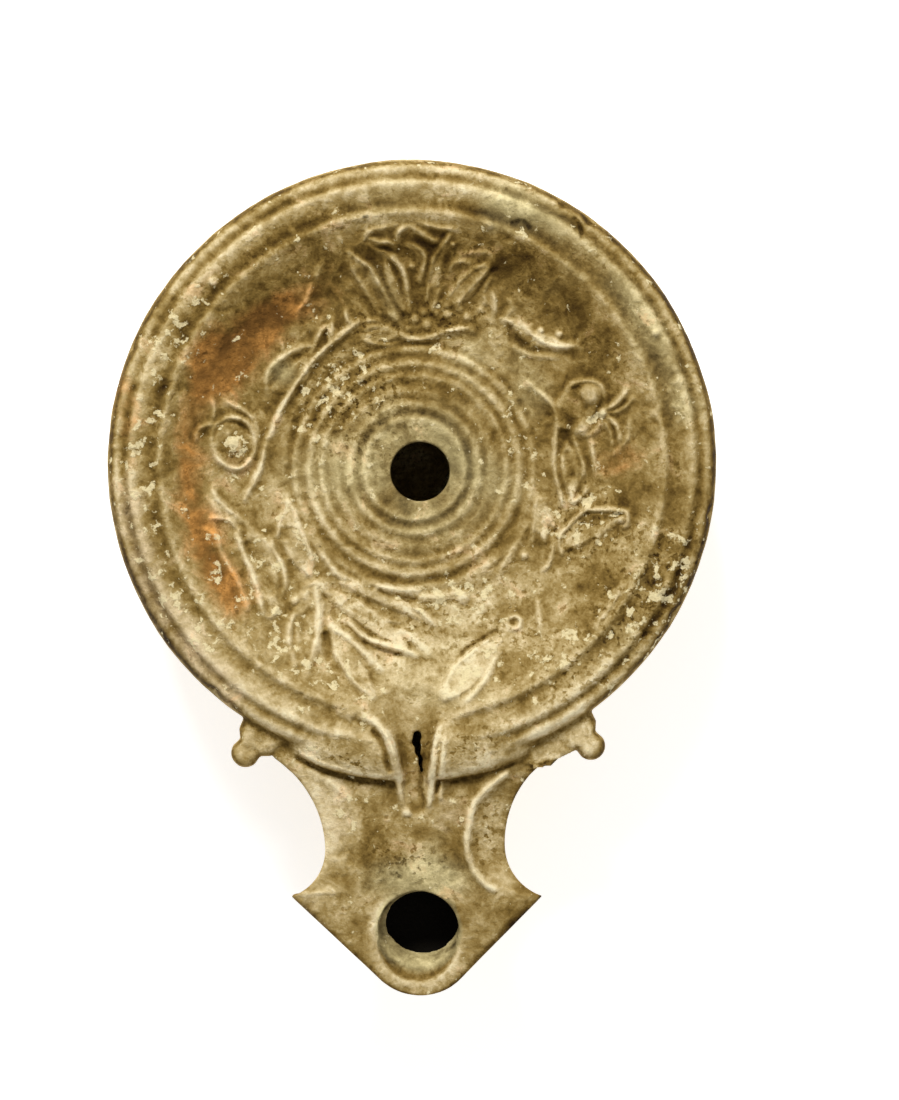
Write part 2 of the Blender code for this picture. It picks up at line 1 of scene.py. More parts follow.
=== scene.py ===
"""A Roman oil lamp of fired clay, seen from straight above on a pale ground.

The lamp is modelled as a potter made it: a turned bowl with its shoulder, a nozzle with volutes, two knobs and a
fruit wreath pressed in low relief. The forms are joined, hollowed and pierced, the relief and the wear are pressed
into the joined clay, and one finish holds its clay, stains and lime, with painted shade and highlights in its hollows,
on its crests, in its holes and along the nozzle's edges. Sizes are in millimetres until a mesh is made.
"""

import json
import logging
import math
from dataclasses import dataclass, field
from enum import Enum

import bmesh
import bpy
import numpy as np
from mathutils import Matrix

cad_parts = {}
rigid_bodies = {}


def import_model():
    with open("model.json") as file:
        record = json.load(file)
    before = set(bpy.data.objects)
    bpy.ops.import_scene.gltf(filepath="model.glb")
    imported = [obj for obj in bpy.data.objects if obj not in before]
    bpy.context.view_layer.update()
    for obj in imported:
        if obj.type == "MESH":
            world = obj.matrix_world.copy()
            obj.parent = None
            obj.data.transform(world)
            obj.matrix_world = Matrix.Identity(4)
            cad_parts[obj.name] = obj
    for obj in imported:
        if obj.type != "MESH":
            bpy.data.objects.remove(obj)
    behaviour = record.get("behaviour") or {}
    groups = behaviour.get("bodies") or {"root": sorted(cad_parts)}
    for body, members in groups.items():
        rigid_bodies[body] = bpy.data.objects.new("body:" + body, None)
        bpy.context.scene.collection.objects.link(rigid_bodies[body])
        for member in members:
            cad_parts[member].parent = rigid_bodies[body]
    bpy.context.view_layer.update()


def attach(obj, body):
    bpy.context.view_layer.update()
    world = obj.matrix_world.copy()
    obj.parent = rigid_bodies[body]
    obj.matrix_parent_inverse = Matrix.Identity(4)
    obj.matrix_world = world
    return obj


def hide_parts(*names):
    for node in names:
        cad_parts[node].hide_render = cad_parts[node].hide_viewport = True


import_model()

MM = 0.001
WELD = 0.000001
HASH = (127.1, 311.7, 74.7, 43758.5453)
BODY_RADIUS = 42.0
BODY_HEIGHT = 28.0
DISCUS_FLOOR = 23.9
WALL = 3.2
LEAN = 0.038
ABOVE_LAMP = 31.0
IN_CHAMBER = 16.5
LOG = logging.getLogger("oil_lamp")

Point = tuple[float, float]
Place = tuple[float, float, float]
Colour = tuple[float, float, float]
Profile = list[Point]
Stations = tuple[Point, ...]


class StainAndShade(Enum):
    """The named fields of colour that the clay's finish reads from the mesh: stains, and painted shade and light."""

    RUST = "rust"
    # Umber stains, with painted shade towards the top of the discus and along the nozzle's edges.
    UMBER_AND_PAINTED_SHADE = "umber_and_shade"
    # Pale wash, with painted light towards the bottom of the discus and on the outer rim.
    PALE_AND_PAINTED_LIGHT = "pale"
    COARSE = "coarse"
    LIME = "lime"
    GREEN = "green"
    BLUSH = "blush"
    # Sooty spots and the wick's own sooting, with painted shade inside the filling hole and the nozzle's hollow.
    SOOT_AND_PAINTED_SHADE = "soot_and_shade"
    # Painted shade and highlight: the relief darkens the hollows and lightens the crests.
    PAINTED_RELIEF_SHADING = "relief"


def smooth(low: float, high: float, value: np.ndarray) -> np.ndarray:
    """A soft step from 0 to 1 between two values."""
    share = np.clip((value - low) / (high - low), 0.0, 1.0)
    return share * share * (3.0 - 2.0 * share)


def mottle(x: np.ndarray, y: np.ndarray, size: float, seed: int, octaves: int = 3) -> np.ndarray:
    """Smooth seeded noise on the plane.

    Args:
        x: Places across, in millimetres.
        y: Places along, in millimetres.
        size: The width of the largest features, in millimetres.
        seed: A number that picks the pattern.
        octaves: How many finer layers are added.

    Returns:
        Values of about -1 to 1.
    """
    total = np.zeros_like(x, dtype=float)
    weight = 1.0
    for octave in range(octaves):
        u = x / size * 2 ** octave + 17.3 * seed
        v = y / size * 2 ** octave - 9.1 * seed
        column, row = np.floor(u), np.floor(v)
        fu, fv = u - column, v - row
        fu, fv = fu * fu * (3 - 2 * fu), fv * fv * (3 - 2 * fv)

        def lattice(a: np.ndarray, b: np.ndarray) -> np.ndarray:
            value = np.sin(a * HASH[0] + b * HASH[1] + (seed + octave) * HASH[2]) * HASH[3]
            return 2.0 * (value - np.floor(value)) - 1.0

        low = lattice(column, row) * (1 - fu) + lattice(column + 1, row) * fu
        high = lattice(column, row + 1) * (1 - fu) + lattice(column + 1, row + 1) * fu
        total += weight * (low * (1 - fv) + high * fv)
        weight *= 0.5
    return total / 1.5


def through(points: list[Point], steps: int = 8) -> list[Point]:
    """A smooth path through points of any dimension, with a number of steps between each two of them."""
    padded = [points[0]] + list(points) + [points[-1]]
    path = []
    for p0, p1, p2, p3 in zip(padded, padded[1:], padded[2:], padded[3:]):
        for step in range(steps):
            t = step / steps
            path.append(tuple(
                0.5 * (2 * b + (c - a) * t + (2 * a - 5 * b + 4 * c - d) * t * t + (3 * b - a - 3 * c + d) * t ** 3)
                for a, b, c, d in zip(p0, p1, p2, p3)))
    path.append(tuple(points[-1]))
    return path


def mirrored(side: Profile) -> Profile:
    """A side of (half width, height) points and its mirror image, as one closed outline."""
    return side + [(-wide, height) for wide, height in reversed(side)]


def ellipse(centre: Point, wide: float, long: float, steps: int) -> list[Point]:
    """The points of an ellipse, given by its half widths across and along."""
    turns = np.linspace(0.0, 2 * math.pi, steps, endpoint=False)
    return [(centre[0] + wide * math.cos(t), centre[1] + long * math.sin(t)) for t in turns]


def reading(stations: Profile | Stations, at: float) -> float:
    """The value at a place in a list of (place, value) stations."""
    return float(np.interp(at, [place for place, _ in stations], [value for _, value in stations]))


class Workbench:
    """Collections in which the lamp's forms wait to be joined, cut away or thrown out."""

    def __init__(self) -> None:
        """Makes a collection each for the forms, the hollows, the holes and the ridges that are added last."""
        self.groups: dict[str, bpy.types.Collection] = {}
        for name in ("forms", "hollows", "holes", "ridges"):
            group = bpy.data.collections.new(name)
            bpy.context.scene.collection.children.link(group)
            self.groups[name] = group

    def place(self, name: str, bm: bmesh.types.BMesh, group: str) -> bpy.types.Object:
        """Turns a closed bmesh into an object of one group, with its faces pointing out."""
        bmesh.ops.remove_doubles(bm, verts=bm.verts, dist=WELD)
        bmesh.ops.recalc_face_normals(bm, faces=bm.faces)
        mesh = bpy.data.meshes.new(name)
        bm.to_mesh(mesh)
        bm.free()
        piece = bpy.data.objects.new(name, mesh)
        self.groups[group].objects.link(piece)
        return piece

    def turn(self, name: str, profile: Profile, steps: int, group: str, centre: Point = (0.0, 0.0)) -> bpy.types.Object:
        """Turns a profile of (radius, height) points, run from the top down its outer side, about an upright axis."""
        bm = bmesh.new()
        x, y = centre[0] * MM, centre[1] * MM
        line = [bm.verts.new((x + radius * MM, y, height * MM)) for radius, height in profile]
        edges = [bm.edges.new(pair) for pair in zip(line, line[1:])]
        bmesh.ops.spin(bm, geom=line + edges, cent=(x, y, 0.0), axis=(0.0, 0.0, 1.0), angle=2 * math.pi, steps=steps,
                       use_merge=True, use_duplicate=False)
        return self.place(name, bm, group)

    def bridge(self, name: str, sections: list[list[Place]], group: str) -> bpy.types.Object:
        """Bridges closed sections one after the other and closes both ends."""
        bm = bmesh.new()
        rings = []
        for section in sections:
            corners = [bm.verts.new([value * MM for value in point]) for point in section]
            rings.append([bm.edges.new((corners[i], corners[(i + 1) % len(corners)])) for i in range(len(corners))])
        for low, high in zip(rings, rings[1:]):
            bmesh.ops.bridge_loops(bm, edges=low + high)
        for ring in (rings[0], rings[-1]):
            bmesh.ops.edgenet_fill(bm, edges=ring)
        bmesh.ops.triangulate(bm, faces=[face for face in bm.faces if len(face.verts) > 4])
        return self.place(name, bm, group)

    def clear(self) -> None:
        """Throws out every form once the clay is joined."""
        for group in self.groups.values():
            for piece in list(group.objects):
                bpy.data.objects.remove(piece)
            bpy.data.collections.remove(group)


@dataclass(frozen=True)
class Bowl:
    """The turned body: discus, stepped shoulder, bowl and base ring."""

    radius: float = BODY_RADIUS
    height: float = BODY_HEIGHT
    widest: float = 22.0
    base_radius: float = 20.5
    wall: float = WALL
    discus_radius: float = 34.7
    floor: float = DISCUS_FLOOR
    flat_radius: float = 17.66
    ring_height: float = 0.7
    shoulder: Stations = ((33.9, -0.42), (34.25, -0.2), (34.5, -0.02), (34.75, 0.04), (35.0, -0.04), (35.3, -0.3),
                          (35.6, -0.48), (36.0, -0.52), (36.5, -0.44), (37.0, -0.3), (37.6, -0.14), (38.1, 0.0),
                          (38.5, 0.08), (38.85, 0.02), (39.15, -0.25), (39.45, -0.62), (39.75, -0.78), (40.1, -0.7),
                          (40.5, -0.62), (40.9, -0.74), (41.25, -1.1), (41.6, -1.75), (41.85, -2.6), (41.97, -3.6))
    base: Stations = ((19.6, 0.0), (19.1, 0.05), (18.6, 0.3), (18.1, 0.6), (17.5, 0.55), (17.0, 0.3), (16.6, 0.22),
                      (9.4, 0.3), (9.0, 0.55), (8.5, 0.55), (8.1, 0.3), (0.0, 0.3))

    def curve(self, inset: float, steps: int) -> Profile:
        """The quarter ellipse from the widest place down to the base, set in by a wall."""
        wide = self.radius - self.base_radius - inset
        deep = self.widest - inset
        turns = [math.pi / 2 * (1 - i / steps) for i in range(steps + 1)]
        return [(self.base_radius + wide * math.sin(t), self.widest - deep * math.cos(t)) for t in turns]

    def outside(self) -> Profile:
        """The whole outside, from the middle of the discus to the middle of the base."""
        line = [(0.0, self.floor - self.ring_height), (self.flat_radius - 2.0, self.floor - self.ring_height)]
        for share in np.linspace(0.0, 0.92, 12):
            radius = self.flat_radius + (self.discus_radius - self.flat_radius) * share
            line.append((radius, self.floor + (self.height - self.floor) * share ** 2.2))
        line += [(radius, self.height + rise) for radius, rise in self.shoulder]
        return line + self.curve(0.0, 26) + list(self.base)

    def chamber(self) -> Profile:
        """The oil chamber, one wall inside the body."""
        roof = self.floor - self.ring_height - self.wall
        rim = self.widest + 0.3 * self.wall
        top = [(0.0, roof), (0.8 * self.discus_radius, roof), (self.discus_radius, rim)]
        return top + [(self.radius - 1.2 * self.wall, rim)] + self.curve(self.wall, 16) + [(0.0, self.wall)]

    def build(self, bench: Workbench) -> bpy.types.Object:
        """Turns the body and its chamber.

        Args:
            bench: The workbench that takes the pieces.

        Returns:
            The body, as its own object outside the groups that are joined to it.
        """
        bench.turn("chamber", self.chamber(), 96, "hollows")
        return bench.turn("lamp_body", self.outside(), 224, "forms")


@dataclass(frozen=True)
class TurnedRings:
    """The rings round the filling hole, turned a little beside the body's own centre."""

    centre: Point = (0.28, -0.62)
    floor: float = DISCUS_FLOOR
    hole_centre: Point = (1.1, -1.0)
    hole_radius: float = 4.1
    form: Stations = ((0.0, 0.56), (6.0, 0.58), (6.45, 0.68), (6.8, 0.84), (7.1, 0.8), (7.4, 0.5), (7.7, 0.3),
                      (8.05, 0.36), (8.5, 0.62), (8.85, 0.74), (9.2, 0.64), (9.55, 0.4), (9.85, 0.32), (10.2, 0.42),
                      (10.7, 0.54), (11.2, 0.42), (11.9, 0.24), (12.3, 0.32), (12.75, 0.54), (13.1, 0.42),
                      (13.5, 0.12), (13.85, 0.22), (14.4, 0.52), (14.85, 0.34), (15.35, -0.12), (15.8, -0.06),
                      (16.3, 0.2), (16.8, 0.12), (17.2, -0.4), (16.7, -1.4), (0.0, -1.4))
    hole_form: Stations = ((0.7, ABOVE_LAMP), (0.55, 25.2), (0.0, 24.3), (-0.05, IN_CHAMBER))

    def build(self, bench: Workbench) -> None:
        """Turns the rings, from the middle outwards, and the filling hole, from above the lamp into its chamber."""
        rings = [(radius, self.floor + rise) for radius, rise in self.form]
        bench.turn("turned_rings", rings, 160, "forms", self.centre)
        hole = [(self.hole_radius + wider, height) for wider, height in self.hole_form]
        bench.turn("filling_hole", [(0.0, hole[0][1])] + hole + [(0.0, hole[-1][1])], 72, "holes", self.hole_centre)


@dataclass(frozen=True)
class Nozzle:
    """The volute nozzle with its wick hole and the hollow inside it, laid out by the distance from the body's edge."""

    body_radius: float = BODY_RADIUS
    reach: float = 31.3
    root_width: float = 38.0
    waist_width: float = 24.8
    horn_span: float = 34.6
    waist_at: float = 10.8
    horn_at: float = 17.6
    tip_radius: float = 8.0
    lean: float = LEAN
    root_top: float = 25.2
    tip_top: float = 23.4
    tip_bottom: float = 15.0
    wall: float = WALL
    wick_radius: float = 5.4
    wick_inset: float = 9.0
    chamfer: float = 1.4
    overrun: float = 1.47
    touch: float = 0.66
    side_wear: Point = (0.0, 0.6)
    well: tuple[tuple[float, ...], ...] = (
        (-7.0, 5.6, 5.35, 0.0, 0.1), (0.3, 5.6, 5.35, 0.0, 0.1), (1.4, 5.55, 5.1, 0.05, 0.3),
        (2.6, 5.15, 4.5, 0.45, 0.85), (4.2, 4.6, 3.8, 0.95, 1.45), (5.4, 4.35, 3.5, 1.1, 1.7),
        (6.6, 4.25, 3.4, 1.15, 1.75))

    def axis(self, out: float) -> float:
        """The sideways place of the middle line, which leans a little to the right."""
        return self.lean * out

    def half(self, out: float) -> float:
        """Half the width at a distance out from the body's edge."""
        waist = self.waist_width / 2

        def arc(wide: float, run: float, away: float) -> float:
            rise = wide - waist
            radius = (run * run + rise * rise) / (2 * rise)
            return waist + radius - math.sqrt(radius * radius - min(away, radius) ** 2)

        if out <= self.waist_at:
            run = self.waist_at + self.overrun
            return arc(self.root_width / 2, run, min(self.waist_at - out, run))
        if out <= self.horn_at:
            return arc(self.horn_span / 2, self.horn_at - self.waist_at, out - self.waist_at)
        centre = self.reach - self.tip_radius
        touch = centre + self.touch * self.tip_radius
        if out <= touch:
            share = (out - self.horn_at) / (touch - self.horn_at)
            return self.horn_span / 2 * (1 - share) + self.tip_radius * math.sqrt(1 - self.touch ** 2) * share
        return math.sqrt(max(self.tip_radius ** 2 - (out - centre) ** 2, 0.0))

    def top(self, out: float) -> float:
        """The height of the flat top."""
        return self.root_top + (self.tip_top - self.root_top) * max(0.0, out) / self.reach

    def bottom(self, out: float) -> float:
        """The height of the underside, which rises from the base to the tip."""
        form = [(-0.22, 0.47), (0.0, 0.54), (0.34, 0.65), (0.72, 0.79), (0.92, 0.9), (1.0, 1.05)]
        return self.tip_bottom * reading(form, out / self.reach)

    def strip(self, out: float) -> float:
        """The width of the sunk strip outside the volute."""
        form = [(0.0, 0.2), (0.12, 0.33), (0.34, 0.4), (0.5, 0.36), (0.56, 0.1), (1.0, 0.1)]
        return self.half(out) * reading(form, out / self.reach)

    def drop(self, out: float) -> float:
        """How far the strip falls to the edge."""
        form = [(0.0, 0.6), (0.2, 1.3), (0.4, 1.4), (0.52, 0.5), (0.6, 0.3), (1.0, 0.35)]
        return reading(form, out / self.reach)

    def flank(self, out: float, worn: float) -> list[Point]:
        """One side of a cross-section from the underside up, as (half width, height), with its volute worn down."""
        half, top, bottom = self.half(out), self.top(out), self.bottom(out)
        edge = top - self.drop(out) * (1.0 - worn)
        inner = 1.0 - self.strip(out) / half

        def level(share: float) -> float:
            return bottom + (edge - bottom) * share

        side = [(0.22, bottom), (0.45, level(0.04)), (0.65, level(0.14)), (0.8, level(0.3)), (0.91, level(0.52)),
                (0.975, level(0.74)), (1.0, edge - 0.8), (0.998, edge - 0.3), (0.98, edge), (0.95, edge + 0.02),
                (0.5 * (0.95 + inner), 0.5 * (edge + top) - 0.1 * (1.0 - worn)), (inner, top)]
        return [(half * wide, height) for wide, height in side]

    def across(self, out: float, outline: Profile) -> list[Place]:
        """Stands an outline of (sideways, height) points across the nozzle's axis."""
        return [(self.axis(out) + wide, -(self.body_radius + out), height) for wide, height in outline]

    def section(self, out: float) -> list[Place]:
        """One cross-section of the solid nozzle, whose left volute is worn and whose right one isn't."""
        right, left = (self.flank(out, worn) for worn in self.side_wear)
        return self.across(out, right + [(-wide, height) for wide, height in reversed(left)])

    def hollow_section(self, out: float) -> list[Place]:
        """One cross-section of the hollow, a wall inside the surface."""
        top, bottom = self.top(out) - self.wall, self.bottom(out) + self.wall
        slant = 1.0 if out < self.horn_at else 1.4
        half = min(self.half(out) - slant * self.wall, 0.375 * self.waist_width)
        rise = top - bottom
        side = [(0.7, bottom), (0.93, bottom + 0.18 * rise), (1.0, bottom + 0.4 * rise), (0.97, bottom + 0.62 * rise),
                (0.88, bottom + 0.82 * rise), (0.6, top)]
        return self.across(out, mirrored([(half * wide, height) for wide, height in side]))

    def wick_centre(self) -> Point:
        """The place of the wick hole."""
        out = self.reach - self.wick_inset
        return self.axis(out), -(self.body_radius + out)

    def build(self, bench: Workbench) -> None:
        """Bridges the nozzle, its hollow and the slanting wick hole, and turns the hole's chamfer."""
        outs = [self.reach * share for share in (-0.22, -0.12, -0.05)]
        outs += list(np.linspace(0.6, self.horn_at - 0.5, 26)) + [self.horn_at - 0.25, self.horn_at]
        outs += [self.horn_at + 0.25] + list(np.linspace(self.horn_at + 0.8, self.reach - 1.2, 18))
        outs += [self.reach - share for share in (0.8, 0.45, 0.2, 0.06, 0.01)]
        bench.bridge("nozzle", [self.section(out) for out in outs], "forms")
        end = self.reach - self.wick_inset + 0.85 * self.wick_radius
        hollow = [self.hollow_section(out) for out in np.linspace(-0.28 * end, end, 18)]
        bench.bridge("nozzle_hollow", hollow, "hollows")
        x, y = self.wick_centre()
        level = self.top(self.reach - self.wick_inset)
        well = [[(px, py, level - drop) for px, py in ellipse((x + dx, y + dy), wide, long, 72)]
                for drop, wide, long, dx, dy in self.well]
        bench.bridge("wick_hole", well, "holes")
        rim = [(2.2, 2.0), (1.05, 0.15), (0.7, -0.15), (0.2, -0.4), (-0.3, -self.chamfer)]
        cutter = [(self.wick_radius + wider, level + rise) for wider, rise in rim]
        bench.turn("wick_chamfer", [(0.0, cutter[0][1])] + cutter + [(0.0, cutter[-1][1])], 84, "holes",
                   (x - 0.1, y - 1.6))


@dataclass(frozen=True)
class Knob:
    """A rounded knob beside the nozzle's root."""

    name: str
    angle: float
    splay: float
    radius: float = 2.0
    reach: float = 4.0
    neck: float = 5.8
    height: float = 5.8
    top: float = 25.6
    root: float = 2.56
    stages: Stations = ((0.35, 0.0), (0.68, 0.05), (0.86, 0.16), (0.96, 0.32), (1.0, 0.5), (0.98, 0.72), (0.88, 0.88),
                        (0.66, 0.97), (0.4, 1.0))

    def build(self, bench: Workbench, body_radius: float) -> None:
        """Bridges the knob's outlines from its underside to its crown."""
        centre = math.radians(self.angle)
        middle = ((body_radius + self.reach) * math.cos(centre), (body_radius + self.reach) * math.sin(centre))
        turn = math.radians(self.angle + self.splay)
        outward = (math.cos(turn), math.sin(turn))
        across = (-outward[1], outward[0])
        sections = []
        for full, share in self.stages:
            radius = self.radius * full
            neck = 0.5 * self.neck * (0.25 + 0.75 * full)
            back = -self.reach - self.root
            outline = [(back, -1.5 * neck), (-0.5 * self.reach, -neck), (-0.25 * self.reach, -0.92 * radius)]
            outline += [(radius * math.cos(a), radius * math.sin(a)) for a in np.linspace(-1.45, 1.45, 15)]
            outline += [(-0.25 * self.reach, 0.92 * radius), (-0.5 * self.reach, neck), (back, 1.5 * neck)]
            z = self.top - self.height * (1 - share)
            sections.append([(middle[0] + outward[0] * out + across[0] * side,
                              middle[1] + outward[1] * out + across[1] * side, z) for out, side in outline])
        bench.bridge(self.name, sections, "forms")


@dataclass(frozen=True)
class Channel:
    """The open channel from the discus to the nozzle, its air slit and side ridges, and the shoulder's lobes."""

    body_radius: float = BODY_RADIUS
    top: float = BODY_HEIGHT
    centre: float = 0.4
    lean: float = LEAN
    floor: Stations = ((-14.0, 25.9), (-12.0, 26.0), (-10.0, 26.15), (-7.0, 26.25), (-4.0, 26.05), (0.0, 25.3),
                       (3.0, 24.75), (5.2, 24.5), (7.4, 25.0))
    half: Stations = ((-14.0, 3.5), (-9.0, 3.3), (-7.0, 2.9), (-5.0, 2.3), (-3.0, 2.0), (0.0, 1.55),
                      (2.0, 1.25), (7.4, 0.7))
    rim: Stations = ((-14.0, 10.0), (-10.0, 9.6), (-8.5, 8.2), (-7.0, 6.2), (-5.9, 4.9), (-5.0, 4.0), (-3.6, 3.2),
                     (-2.3, 2.9), (0.0, 2.75), (1.5, 2.6), (3.0, 2.3), (5.0, 1.8), (7.4, 1.2))
    slit: Stations = ((1.1, -36.7), (1.35, -37.5), (1.1, -38.2), (1.3, -39.0), (1.1, -39.8), (1.55, -40.6),
                      (1.4, -41.4), (1.65, -42.5), (1.2, -42.6), (0.85, -41.2), (0.9, -40.5), (0.35, -39.7),
                      (0.4, -39.0), (-0.1, -38.4), (0.1, -37.6), (0.25, -36.8))
    lobe: Stations = ((36.6, -3.6), (36.6, -0.5), (37.3, -0.12), (38.4, 0.05), (39.8, -0.02), (41.2, -0.3),
                      (42.4, -0.75), (43.2, -1.3), (43.6, -1.9), (43.7, -2.4), (43.7, -3.6))
    lobe_spread: float = 25.0
    sides: tuple[tuple[Place, ...], ...] = (
        ((-3.8, -36.9, 28.0), (-2.6, -39.5, 28.0), (-2.2, -41.3, 27.75), (-2.0, -42.6, 27.2), (-1.85, -43.8, 26.3),
         (-1.55, -45.6, 25.7), (-1.2, -47.4, 25.3)),
        ((4.3, -35.2, 27.0), (3.7, -36.8, 27.9), (3.25, -39.0, 28.0), (3.0, -41.3, 27.75), (2.9, -42.6, 27.2),
         (2.8, -43.8, 26.3), (2.6, -45.6, 25.7), (2.3, -47.2, 25.3)))
    side_width: float = 0.95
    side_form: Stations = ((-1.1, -3.0), (-1.0, -0.6), (-0.6, -0.15), (0.0, 0.0), (0.6, -0.15), (1.0, -0.6),
                           (1.1, -3.0))
    web: Stations = ((15.5, -35.0), (22.6, -34.6), (23.9, -37.9), (22.4, -39.5), (20.6, -40.0), (19.2, -40.7),
                     (15.5, -41.0))
    web_levels: Stations = ((21.0, -0.25), (22.5, -0.06), (24.0, 0.0), (24.9, -0.05), (25.3, -0.3))
    web_middle: Point = (19.0, -37.5)
    ends: Point = (-14.0, 7.4)

    def build(self, bench: Workbench) -> None:
        """Bridges the lobes with their web, the side ridges, and the cutters of the channel and the air slit."""
        lobes = []
        for share in np.linspace(-1.0, 1.0, 41):
            angle = math.radians(270 + self.lobe_spread * share)
            fall, draw = 1.5 * abs(share) ** 4, 1.4 * abs(share) ** 6
            lobes.append([((r - draw * (r > self.body_radius)) * math.cos(angle),
                           (r - draw * (r > self.body_radius)) * math.sin(angle), self.top + z - fall)
                          for r, z in self.lobe])
        bench.bridge("shoulder_lobes", lobes, "forms")
        mx, my = self.web_middle
        bench.bridge("root_web", [[(px + (px - mx) * draw, py - (py - my) * draw, z) for px, py in self.web]
                                  for z, draw in self.web_levels], "forms")
        half = 0.5 * self.side_width
        for number, line in enumerate(self.sides):
            ridge = [[(px + wide * half, py, pz + drop) for wide, drop in self.side_form]
                     for px, py, pz in through(list(line))]
            bench.bridge(f"channel_side_{number}", ridge, "ridges")

        sections = []
        for out in np.linspace(*self.ends, 44):
            half, low, rim = reading(self.half, out), reading(self.floor, out), reading(self.rim, out)
            x, y = self.centre + self.lean * max(out, 0.0), -(self.body_radius + out)
            outline = mirrored([(0.6 * half, low), (half, low + 0.25), (rim, self.top), (rim + 0.1, self.top + 2.0)])
            sections.append([(x + wide, y, z) for wide, z in outline])
        bench.bridge("channel", sections, "hollows")
        bench.bridge("air_slit", [[(x, y, z) for x, y in self.slit] for z in (IN_CHAMBER, ABOVE_LAMP)], "holes")


class Pressing:
    """The lamp's top as a field of heights that the mould's carving is pressed into, all in millimetres."""

    def __init__(self, x: np.ndarray, y: np.ndarray) -> None:
        """Starts with no relief at the given places."""
        self.x = x
        self.y = y
        self.raised = np.zeros_like(x)
        self.sunk = np.zeros_like(x)
        self.wear = 1.22 + 0.26 * mottle(x, y, 5.0, 3) + 0.16 * mottle(x, y, 1.3, 4)

    def near(self, low: Point, high: Point) -> np.ndarray:
        """The indices of the places inside a box."""
        return np.nonzero((self.x > low[0]) & (self.x < high[0]) & (self.y > low[1]) & (self.y < high[1]))[0]

    def raise_to(self, chosen: np.ndarray, height: np.ndarray) -> None:
        """Lifts the chosen places to a height, where they aren't higher already."""
        self.raised[chosen] = np.maximum(self.raised[chosen], height * self.wear[chosen])

    def sink_to(self, chosen: np.ndarray, depth: np.ndarray) -> None:
        """Lowers the chosen places by a depth, where they aren't lower already."""
        self.sunk[chosen] = np.maximum(self.sunk[chosen], depth)

    def along(self, points: tuple[Point, ...], width: float) -> tuple[np.ndarray, np.ndarray, np.ndarray]:
        """The places near a path.

        Args:
            points: The points that the path runs smoothly through.
            width: The width of the line that will be drawn.

        Returns:
            The places' indices, their distances to the path, and the share of the path at which each is nearest.
        """
        path = through(list(points))
        room = 2 * width
        chosen = self.near((min(p[0] for p in path) - room, min(p[1] for p in path) - room),
                           (max(p[0] for p in path) + room, max(p[1] for p in path) + room))
        px, py = self.x[chosen], self.y[chosen]
        best = np.full(len(chosen), 1e9)
        share = np.zeros(len(chosen))
        count = len(path) - 1
        for number, ((ax, ay), (bx, by)) in enumerate(zip(path, path[1:])):
            dx, dy = bx - ax, by - ay
            t = np.clip(((px - ax) * dx + (py - ay) * dy) / max(dx * dx + dy * dy, 1e-9), 0.0, 1.0)
            gap = np.hypot(px - ax - t * dx, py - ay - t * dy)
            nearer = gap < best
            best = np.where(nearer, gap, best)
            share = np.where(nearer, (number + t) / count, share)
        return chosen, best, share


@dataclass(frozen=True)
class Mound:
    """The low soft body of a leaf or fruit, under its ribs."""

    base: Point
    tip: Point
    width: float
    bow: float = 0.0
    height: float = 0.44

    def press(self, clay: Pressing) -> None:
        """Raises the mound on the clay."""
        (bx, by), (tx, ty) = self.base, self.tip
        length = math.hypot(tx - bx, ty - by)
        ax, ay = (tx - bx) / length, (ty - by) / length
        room = self.width + abs(self.bow) + 1.5
        chosen = clay.near((min(bx, tx) - room, min(by, ty) - room), (max(bx, tx) + room, max(by, ty) + room))
        dx, dy = clay.x[chosen] - bx, clay.y[chosen] - by
        along = (dx * ax + dy * ay) / length
        s = np.clip(along, 0.0, 1.0)
        side = dy * ax - dx * ay - 4 * self.bow * s * (1 - s)
        full = np.interp(s, [0.0, 0.12, 0.3, 0.5, 0.72, 0.9, 1.0], [0.25, 0.62, 0.94, 1.0, 0.78, 0.36, 0.04])
        inside = 0.5 * self.width * full - np.abs(side)
        beyond = np.maximum(np.abs(along - s) * length - 0.2, 0.0)
        clay.raise_to(chosen, self.height * np.exp(-(beyond / 0.35) ** 2) * smooth(-0.3, 0.4, inside))


@dataclass(frozen=True)
class Rib:
    """A raised line of clay through a few points, such as a stem, a petal's edge or a volute."""

    points: tuple[Point, ...]
    width: float = 0.9
    height: float = 0.6
    start: float = 0.6
    end: float = 0.5

    def press(self, clay: Pressing) -> None:
        """Raises the rib on the clay."""
        chosen, gap, share = clay.along(self.points, self.width)
        taper = self.start + (1 - self.start) * smooth(0.0, 0.25, share)
        taper = taper * (self.end + (1 - self.end) * smooth(1.0, 0.7, share))
        clay.raise_to(chosen, self.height * taper * np.exp(-(gap / (0.62 * self.width)) ** 2))


@dataclass(frozen=True)
class Groove:
    """A sunk line through a few points."""

    points: tuple[Point, ...]
    width: float = 0.8
    depth: float = 0.5

    def press(self, clay: Pressing) -> None:
        """Sinks the line into the clay."""
        chosen, gap, share = clay.along(self.points, self.width)
        taper = smooth(0.0, 0.12, share) * smooth(1.0, 0.88, share)
        clay.sink_to(chosen, self.depth * taper * np.exp(-(gap / (0.55 * self.width)) ** 2))


@dataclass(frozen=True)
class Boss:
    """A round boss, such as a berry or a bead."""

    centre: Point
    radius: float
    height: float = 0.55

    def press(self, clay: Pressing) -> None:
        """Raises the boss on the clay."""
        x, y = self.centre
        room = self.radius + 1.5
        chosen = clay.near((x - room, y - room), (x + room, y + room))
        out = np.hypot(clay.x[chosen] - x, clay.y[chosen] - y)
        clay.raise_to(chosen, self.height * smooth(self.radius + 0.25, 0.3 * self.radius, out))


